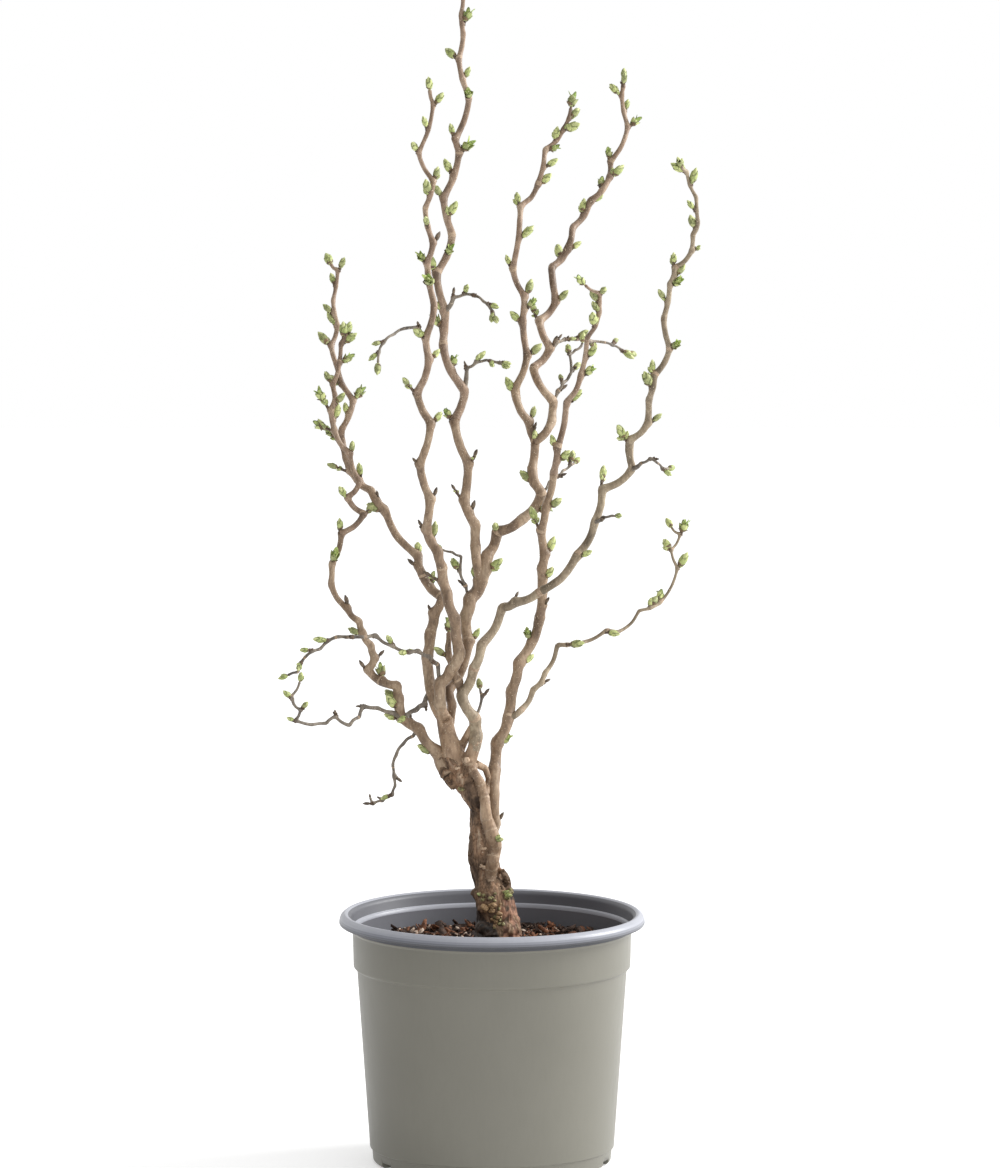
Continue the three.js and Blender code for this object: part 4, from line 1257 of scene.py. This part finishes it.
def hollows(points, faces, normals, rounds):
    """How far each point of a skin lies below its neighbours, eased over a few rounds."""
    rows = np.array([face for face in faces if len(face) == 4])
    pairs = np.vstack([rows[:, [k, (k + 1) % 4]] for k in range(4)])
    pairs = np.vstack([pairs, pairs[:, ::-1]])
    count = np.maximum(1, np.bincount(pairs[:, 0], minlength=len(points)))

    def around(values):
        return np.bincount(pairs[:, 0], weights=values[pairs[:, 1]], minlength=len(points)) / count

    means = np.stack([around(points[:, k]) for k in range(3)], axis=1)
    found = np.sum((means - points) * normals, axis=1)
    for _ in range(rounds):
        found = (found + around(found)) / 2
    return found


def trunk_parts():
    """The trunk's closed shapes, and the line, radii and bark of each strand and each bough's foot."""
    stems = [(trace("strand_" + name, strand), len(strand["walk"]), name in SMOOTH_STRANDS)
             for name, strand in STRANDS.items()]
    stems += [(WOOD[name], 1, name in SMOOTH_FEET) for name in ROOTED]
    parts = []
    lines = []
    for limb, last, is_smooth in stems:
        points, places = smoothed(limb["path"], 0, last)
        is_foot = limb["name"] in ROOTED
        radii = girths(limb, points, places) if is_foot else tapered(limb, places)
        swell = np.clip(FOOT_SWELL - places / 2 * FOOT_SLIM, FOOT_SLIM, 1) if is_foot else 1
        parts.append(tube(points, radii * swell, TRUNK_SIDES))
        lines.append((points, radii, SMOOTH if is_smooth else FLAKY))
    for i, (across, up, back, radius) in enumerate(BURRS):
        parts.append(ball(pushed_back([across, up], back), radius, BURR_SQUASH, 70 + i))
    return parts, lines


def trunk_barks(points, lines):
    """The bark at each point of the trunk's skin: by the nearest strand, by height and by side, with painted
    shade low on the foot that reaches higher on the left.
    """
    gaps = np.full(len(points), 1e9)
    barks = np.zeros(len(points), int)
    on_ring = np.zeros(len(points), bool)
    for line, radii, kind in lines:
        for i in range(0, len(line), 2):
            gap = np.linalg.norm(points - line[i], axis=1) - radii[i]
            nearer = gap < gaps
            gaps[nearer] = gap[nearer]
            barks[nearer] = kind
            on_ring[nearer] = kind == SMOOTH and i % RING_EVERY == 0
    across, height = points[:, 0], points[:, 2]
    blotch = relief(points, *BLOTCHES)
    barks[(barks == FLAKY) & (height > FORK_HEIGHT + FORK_RAGGED * blotch)] = SMOOTH
    is_low = height < RUST_HEIGHT + RUST_RAGGED[0] * blotch
    is_right = across > RUST_ACROSS + RUST_RAGGED[1] * blotch
    barks[is_low & is_right & (relief(points, *RUST_SPOTS) > RUST_LEAST)] = RUST
    # Painted shade: the foot low in the pot is dark, reaching higher on the left, away from the key light
    fall = FOOT_SHADE_FALL * across + FOOT_SHADE_STEEPER * np.maximum(0, across - FOOT_SHADE_STEEPER_FROM)
    barks[height + FOOT_SHADE_RAGGED * blotch < FOOT_SHADE_HEIGHT - fall] = FOOT_SHADE
    barks[on_ring & (barks == SMOOTH)] = RING
    return barks


def add_trunk():
    """The trunk: strands, burrs and the feet of the boughs melted into one skin under its own bark, with
    painted shade in its deepest creases.
    """
    parts, lines = trunk_parts()
    points, faces, normals = remeshed(parts)
    barks = trunk_barks(points, lines)
    deep = hollows(points, faces, normals, HOLLOW_ROUNDS)
    crease = np.clip((deep - CREASE_LEAST) / CREASE_SPREAD, 0, 1)
    plates = relief(points, *PLATES)
    fissures = 1 - np.abs(relief(points, *FISSURES))
    grit = relief(points, *GRIT)
    flaky = FLAKY_PLATES * np.sign(plates) * np.abs(plates) ** 0.5
    flaky = flaky - FLAKY_FISSURES * fissures ** 7 + FLAKY_GRIT * grit
    smooth = SMOOTH_WRINKLES * relief(points, *WRINKLES) + SMOOTH_GRIT * grit + SMOOTH_PLATES * plates
    rise = np.where((barks == SMOOTH) | (barks == RING), smooth, flaky) - CREASE_DEEP * crease
    # Painted shade: the deepest hollows get the dark crease material
    barks[(crease > CREASE_SHADE_FROM) & (relief(points, *CREASE_SHADE_SPOTS) > SPOT_LEAST)] = CREASE_SHADE
    points = points + normals * rise[:, None]
    points[:, 2] = np.maximum(points[:, 2], SOIL_LEVEL)
    trunk = Bundle()
    trunk.add(points, faces, [int(barks[face[0]]) for face in faces])
    return trunk, points


def on_skin(skin, seen):
    """The foremost point of the trunk's skin near the spot that is seen at [across, up], if any."""
    spot = pushed_back(seen, 0)
    near = skin[np.hypot(skin[:, 0] - spot[0], skin[:, 2] - spot[2]) < SKIN_REACH]
    return near[np.argmin(near[:, 1])] if len(near) else None


def add_knobs(skin):
    """Knobs of stunted shoots and swollen scars on the trunk, most of them where it was grafted."""
    knobs = Bundle()
    draw = seeded(SEED + 5)
    for across, up, wide, tall, count, radius, kind in KNOB_GROUPS:
        for _ in range(count):
            seen = [across + wide * (draw() - 0.5), up + tall * (draw() - 0.5)]
            size = radius * spread(KNOB_GROWTH, draw())
            squash = spread(KNOB_SQUASH, draw())
            spot = on_skin(skin, seen)
            if spot is not None:
                centre = spot - [0, KNOB_SUNK * size, 0]
                knobs.add(*ball(centre, size, squash, 200 + len(knobs.points)), kind)
    return knobs


def add_trunk_buds(skin):
    """The few buds that sit on the trunk itself, each aimed by how far it leans from upright."""
    draw = seeded(SEED + 7)
    for across, up, lean, size in TRUNK_BUDS:
        way = unit(np.array([math.sin(math.radians(lean)), -0.4, math.cos(math.radians(lean))]))
        add_head(on_skin(skin, [across, up]), way, size, draw, SHUT)


def inner_wall():
    """The pot's inner wall from the ledge to the floor, as (radius, height). It steps in at the shoulder."""
    above = RIM - SHOULDER_INSET - WALL
    return [
        (RIM - NECK_INSET - 2.2, LEDGE),
        (above, SHOULDER + 1.8),
        (above - SHOULDER_STEP, SHOULDER + 0.4),
        (BASE + FOOT_STEP - WALL, FOOT_STEP_HEIGHT + 2),
    ]


def inner_radius(height):
    """How far the inner wall is from the pot's axis at a height."""
    wall = sorted(inner_wall(), key=lambda point: point[1])
    return float(np.interp(height, [z for _, z in wall], [r for r, _ in wall]))


def risen(share, toward_back):
    """How much higher the compost stands near the wall than at the trunk, most of all in front."""
    return COMPOST_RISE * share ** 4 * (1 - 0.5 * toward_back)


def add_compost():
    """The compost's lumpy top over a plain body, as one closed shape."""
    reach = inner_radius(SURFACE) - COMPOST_GAP
    floor = FLOOR_THICK + 0.4
    top = [(reach * (i + 1) / COMPOST_ROWS, SURFACE) for i in range(COMPOST_ROWS)]
    skirt = [(inner_radius(z) - COMPOST_GAP, z) for z in (SURFACE - 9, FOOT_STEP_HEIGHT + 3)]
    profile = [(0, SURFACE - 0.8), *top, *skirt, (BASE - 6, floor), (0, floor)]
    points, faces = lathed(profile, COMPOST_SIDES, goes_down=True)
    face_up = points[1:1 + COMPOST_ROWS * COMPOST_SIDES]
    share = np.hypot(face_up[:, 0], face_up[:, 1]) / reach
    lumps = sum(tall * relief(face_up, size, seed) for tall, size, seed in COMPOST_LUMPS)
    rise = risen(share, face_up[:, 1] / reach) + lumps
    face_up[:, 2] += rise * np.clip(share * 6 - 1, 0.1, 1) - COMPOST_GAP
    compost = Bundle()
    compost.add(points, faces)
    return compost


def chip(draw, long, wide, thick):
    """A split flake of bark: a ragged closed slab."""
    outline = []
    for k in range(CHIP_CORNERS):
        angle = 2 * math.pi * (k + 0.5 * draw()) / CHIP_CORNERS
        across = long / 2 * math.cos(angle) * (0.75 + 0.4 * draw())
        outline.append([across, wide / 2 * math.sin(angle) * (0.7 + 0.5 * draw())])
    top = [[x, y, thick / 2 * (0.5 + draw())] for x, y in outline]
    bottom = [[x * 0.9, y * 0.9, -thick / 2] for x, y in outline]
    faces = [tuple(range(CHIP_CORNERS)), tuple(reversed(range(CHIP_CORNERS, 2 * CHIP_CORNERS)))]
    for k in range(CHIP_CORNERS):
        after = (k + 1) % CHIP_CORNERS
        faces.append((k, k + CHIP_CORNERS, after + CHIP_CORNERS, after))
    return np.array(top + bottom), faces


def add_chips():
    """Crumbs, chips, flakes and fibres of bark strewn over the compost: dark, reddish and pale kinds."""
    draw = seeded(SEED + 9)
    reach = inner_radius(SURFACE) - 3
    chips = Bundle()
    for count, least, most, slimness, thick in CHIP_SORTS:
        for _ in range(count):
            angle = 2 * math.pi * draw()
            long = least + (most - least) * draw() ** 1.6
            spot = math.sqrt(draw()) * (reach - long / 2)
            wide = long * slimness * spread(CHIP_GROWTH, draw())
            kind = CHIP_KINDS[int(draw() * len(CHIP_KINDS))]
            kind = min(kind, 1) if long > PALE_LONGEST else kind
            points, faces = chip(draw, long, wide, thick * spread(CHIP_GROWTH, draw()))
            tilt = (draw() - 0.5) * 1.5
            turn = 2 * math.pi * draw()
            lift = risen(spot / reach, math.sin(angle)) + spread(CHIP_LIFT, draw())
            lift += abs(math.sin(tilt)) * long * 0.2
            place = np.array([spot * math.cos(angle), spot * math.sin(angle), SURFACE + lift])
            away = (place - TRUNK_FOOT) * [1, 1, 0]
            gap = SEAT_CLEAR + SEAT_RAGGED * draw() ** 2 - float(np.linalg.norm(away))
            place += unit(away) * max(0, gap)
            chips.add(points @ spun(tilt, 1) @ spun(turn, 2) + place, faces, kind)
    return chips


def rounded(profile):
    """An outline of (radius, height, rounding) with an arc in place of each of its corners."""
    found = []
    for before, here, after in zip(profile, profile[1:], profile[2:]):
        corner = np.array(here[:2])
        arms = [np.array(other[:2]) - corner for other in (before, after)]
        longs = [float(np.linalg.norm(arm)) for arm in arms]
        reach = min(here[2], 0.45 * longs[0], 0.45 * longs[1])
        start, end = (corner + arm / long * reach for arm, long in zip(arms, longs))
        for k in range(ARC_STEPS + 1):
            t = k / ARC_STEPS
            found.append(start * (1 - t) ** 2 + corner * 2 * t * (1 - t) + end * t * t)
    return [profile[0][:2], *found, profile[-1][:2]]


def pot_profile():
    """The wall's outline from the middle of the underside, up the outside, over the rim and down inside."""
    neck = RIM - NECK_INSET
    roll = RIM - RIM_ROLL
    inner = inner_wall()
    return [
        (0, 0, 0),
        (BASE - 1.2, 0, 0.5),
        (BASE, 1.2, 0.6),
        (BASE + 0.6, FOOT_STEP_HEIGHT - 0.6, 0.8),
        (BASE + FOOT_STEP, FOOT_STEP_HEIGHT, 0.5),
        (RIM - SHOULDER_INSET - SHOULDER_STEP, SHOULDER, 0.8),
        (RIM - SHOULDER_INSET, SHOULDER + 1.4, 0.9),
        (neck - 0.4, LEDGE - 1, 0.8),
        (neck + 0.6, LEDGE, 0.5),
        (neck + 0.7, LIP - 0.4, 0.6),
        (RIM - 1, LIP - 1, 0.7),
        (RIM, LIP, 1.5),
        # Edges of the bands of painted shade on the rim's roll
        (RIM - 0.2, LIP + RIM_BANDS[0], 0.3),
        (RIM - 0.5, LIP + RIM_BANDS[1], 0.3),
        (RIM - 1.1, POT_HEIGHT - 1.9, 1.2),
        (roll, POT_HEIGHT, 1.4),
        (roll - 1.6, POT_HEIGHT - 0.5, 1.2),
        (roll - 4, POT_HEIGHT - 2.4, 1.2),
        (neck - 0.6, LEDGE + 2.0, 0.8),
        (neck - 1.6, LEDGE + 1.7, 0.7),
        (inner[0][0], LEDGE, 0.5),
        *[(radius, height, 0.8) for radius, height in inner[1:]],
        (BASE - WALL - 0.6, FLOOR_THICK + 1.6, 0.8),
        (BASE - 4.5, FLOOR_THICK, 1.2),
        (0, FLOOR_THICK, 0),
    ]


def pot_kind(x, y, z, outwards):
    """The kind of a face of the pot, by where it lies and which way it looks, with painted shade and a
    painted highlight.
    """
    on_lip = z > LIP - 1.2 and math.hypot(x, y) > RIM - RIM_ROLL - LIP_INWARDS
    # Painted shadow on the outer neck and the underside of the lip
    if outwards > 0 and LEDGE + 0.5 < z < LIP + LIP_SHADE:
        return NECK_SHADE
    # Painted shade on the rim's outer roll: darkest low, lighter higher up
    if outwards > 0 and LIP < z < LIP + RIM_BANDS[0]:
        return RIM_LOW_SHADE
    if outwards > 0 and LIP < z < LIP + RIM_BANDS[1]:
        return RIM_SIDE_SHADE
    # Painted shade on the inner wall under the rim
    if outwards < 0 and z > LEDGE + LEDGE_HIGHLIGHT_TOP and not on_lip:
        return BAND_SHADE
    # The rim's own colour, and a painted highlight on the inner ledge in that paler colour
    if on_lip or (outwards < 0 and LEDGE - 0.4 < z < LEDGE + LEDGE_HIGHLIGHT_TOP):
        return RIM_AND_LEDGE_HIGHLIGHT
    return INSIDE if outwards < 0 and z > FLOOR_THICK else OUTSIDE


def cut_notches(pot):
    """Cuts the drain notches through the foot of the pot's wall."""
    near, far, half = BASE - NOTCH_REACH, BASE + NOTCH_REACH, NOTCH_WIDTH / 2
    outline = [(near, -half), (far, -half), (far, half), (near, half)]
    box = np.array([(x, y, z) for z in (-NOTCH_HEIGHT, NOTCH_HEIGHT) for x, y in outline])
    sides = [(k, (k + 1) % 4, (k + 1) % 4 + 4, k + 4) for k in range(4)]
    cutters = Bundle()
    for i in range(NOTCH_COUNT):
        turn = 2 * math.pi * (i + NOTCH_TURN) / NOTCH_COUNT
        cutters.add(box @ spun(turn, 2), [(3, 2, 1, 0), (4, 5, 6, 7), *sides])
    tool = meshed("notches", np.vstack(cutters.points) * METRES, cutters.faces)
    cut = pot.modifiers.new("notches", "BOOLEAN")
    cut.operation = "DIFFERENCE"
    cut.solver = "EXACT"
    cut.object = tool
    bpy.context.view_layer.update()
    whole = pot.evaluated_get(bpy.context.evaluated_depsgraph_get())
    cut_mesh = bpy.data.meshes.new_from_object(whole)
    pot.modifiers.clear()
    pot.data = cut_mesh
    bpy.data.objects.remove(tool)


def add_pot():
    """The pot's wall with its notches, and the kind of each of its faces."""
    wall = Bundle()
    wall.add(*lathed(rounded(pot_profile()), POT_SIDES))
    pot = wall.piece("pot_wall", POT_KINDS, "pot_plastic", ["pot"])
    cut_notches(pot)
    for face in pot.data.polygons:
        x, y, z = face.center / METRES
        face.material_index = pot_kind(x, y, z, face.normal.x * x + face.normal.y * y)


def set_stage():
    """White studio: a pale floor, a key light at the right and a white sky that is dim low on the left."""
    bpy.ops.mesh.primitive_grid_add(
        x_subdivisions=8, y_subdivisions=8, size=FLOOR_SIZE, location=(0, 0, FLOOR_LOW))
    floor = bpy.context.active_object
    floor.name = "studio_floor"
    paper, tree, shade = shader("studio_paper", 0.9, 0.1)
    grain = ramp(tree, noise(tree, 300, 3), [(0.3, (216, 216, 216)), (0.7, (221, 221, 221))])
    glow = {"Emission Color": linear(WHITE), "Emission Strength": FLOOR_GLOW}
    wire(tree, shade, {"Base Color": grain, **glow})
    floor.data.materials.append(paper)

    world = bpy.data.worlds.new("studio_sky")
    bpy.context.scene.world = world
    world.use_nodes = True
    tree = world.node_tree
    way = node(tree, "TexCoord", {}).outputs["Generated"]
    aim = node(tree, "VectorMath", {0: way, 1: unit(np.array(DIM_SIDE))})
    aim.operation = "DOT_PRODUCT"
    dimmed = ramp(tree, aim.outputs["Value"], [(DIM_SPREAD[0], WHITE), (DIM_SPREAD[1], DIM)])
    to_camera = node(tree, "LightPath", {}).outputs["Is Camera Ray"]
    colour = mixed(tree, to_camera, dimmed, linear(WHITE))
    wire(tree, tree.nodes["Background"], {"Strength": SKY, "Color": colour})
    bpy.context.scene.view_settings.view_transform = "Standard"

    light = bpy.data.lights.new("key", "AREA")
    light.energy = KEY
    light.size = KEY_SIZE
    key = linked("key", light)
    key.location = KEY_PLACE
    key.rotation_euler = (Vector(KEY_AIM) - Vector(KEY_PLACE)).to_track_quat("-Z", "Y").to_euler()


def set_camera():
    """The camera stands at the eye that the limbs are described from."""
    data = bpy.data.cameras.new("camera")
    data.lens = LENS
    data.sensor_width = SENSOR
    data.shift_x, data.shift_y = SHIFT
    data.clip_start = 0.5
    data.clip_end = 100
    camera = linked("camera", data)
    camera.location = EYE * METRES
    camera.rotation_euler = (math.radians(90 - LOOKS_DOWN), 0, 0)
    bpy.context.scene.camera = camera


MATERIALS = {"flaking_bark": old_bark("flaking_bark")}
for make, table in ((bark, BARKS), (mottled, MOTTLED), (plastic, PLASTICS)):
    for name, row in table.items():
        MATERIALS[name] = make(name, *row)

# The materials of each piece, in the order of its kinds of face
BOUGH_KINDS = ["young_bark", "olive_bark", "scar_bark"]
SHOOT_KINDS = ["shoot_bark", "olive_bark", "scar_bark"]
THIN_KINDS = ["twig_bark", "olive_bark", "scar_bark", "collar_bark"]
# The trunk's foot and crease materials are painted shade
TRUNK_KINDS = ["flaking_bark", "smooth_bark", "wet_bark", "crease_bark", "rust_bark", "scar_bark"]
KNOB_KINDS = ["knob_green", "knob_tan", "knob_brown", "knob_pale"]
BUD_KINDS = ["bud_green", "bud_lime", "bud_olive", "bud_husk", "bud_asleep", "bud_edge"]
LEAF_KINDS = ["leaf_green", "leaf_lime", "leaf_edge"]
BARK_CHIP_KINDS = ["chip_dark", "chip_red", "chip_pale"]
# The pot's darker neck, lower rim and inner band materials are painted shade
POT_KINDS = ["pot_outside", "pot_rim", "pot_inside", "pot_neck", "rim_low", "rim_side", "pot_band"]

NODES = [ob.name for ob in bpy.context.scene.objects if ob.type == "MESH"]
BOUGH_NODES = [node for node in NODES if node.endswith("_bough")]
SPRAY_NODES = [node for node in NODES if node.endswith("_spray")]
TWIG_NODES = [node for node in NODES if node.endswith("_twig")]
add_wood()
add_buds()
trunk, trunk_skin = add_trunk()
trunk.piece("trunk_bark", TRUNK_KINDS, "bark", ["trunk"])
add_knobs(trunk_skin).piece("trunk_knobs", KNOB_KINDS, "bark")
add_trunk_buds(trunk_skin)
boughs.piece("boughs_bark", BOUGH_KINDS, "bark", BOUGH_NODES)
shoots.piece("shoots_bark", SHOOT_KINDS, "budded_twigs", SPRAY_NODES)
twiglets.piece("thin_twigs", THIN_KINDS, "budded_twigs", TWIG_NODES)
for side, bundle in scales.items():
    bundle.piece("bud_scales_" + side, BUD_KINDS, "budded_twigs")
cores.piece("bud_tips", ["bud_tip", "bud_asleep_tip"], "budded_twigs")
leaves.piece("first_leaves", LEAF_KINDS, "budded_twigs")
add_compost().piece("compost_top", ["compost_dark"], "bark_compost", ["compost"])
add_chips().piece("bark_chips", BARK_CHIP_KINDS, "bark_compost")
add_pot()
set_stage()
set_camera()
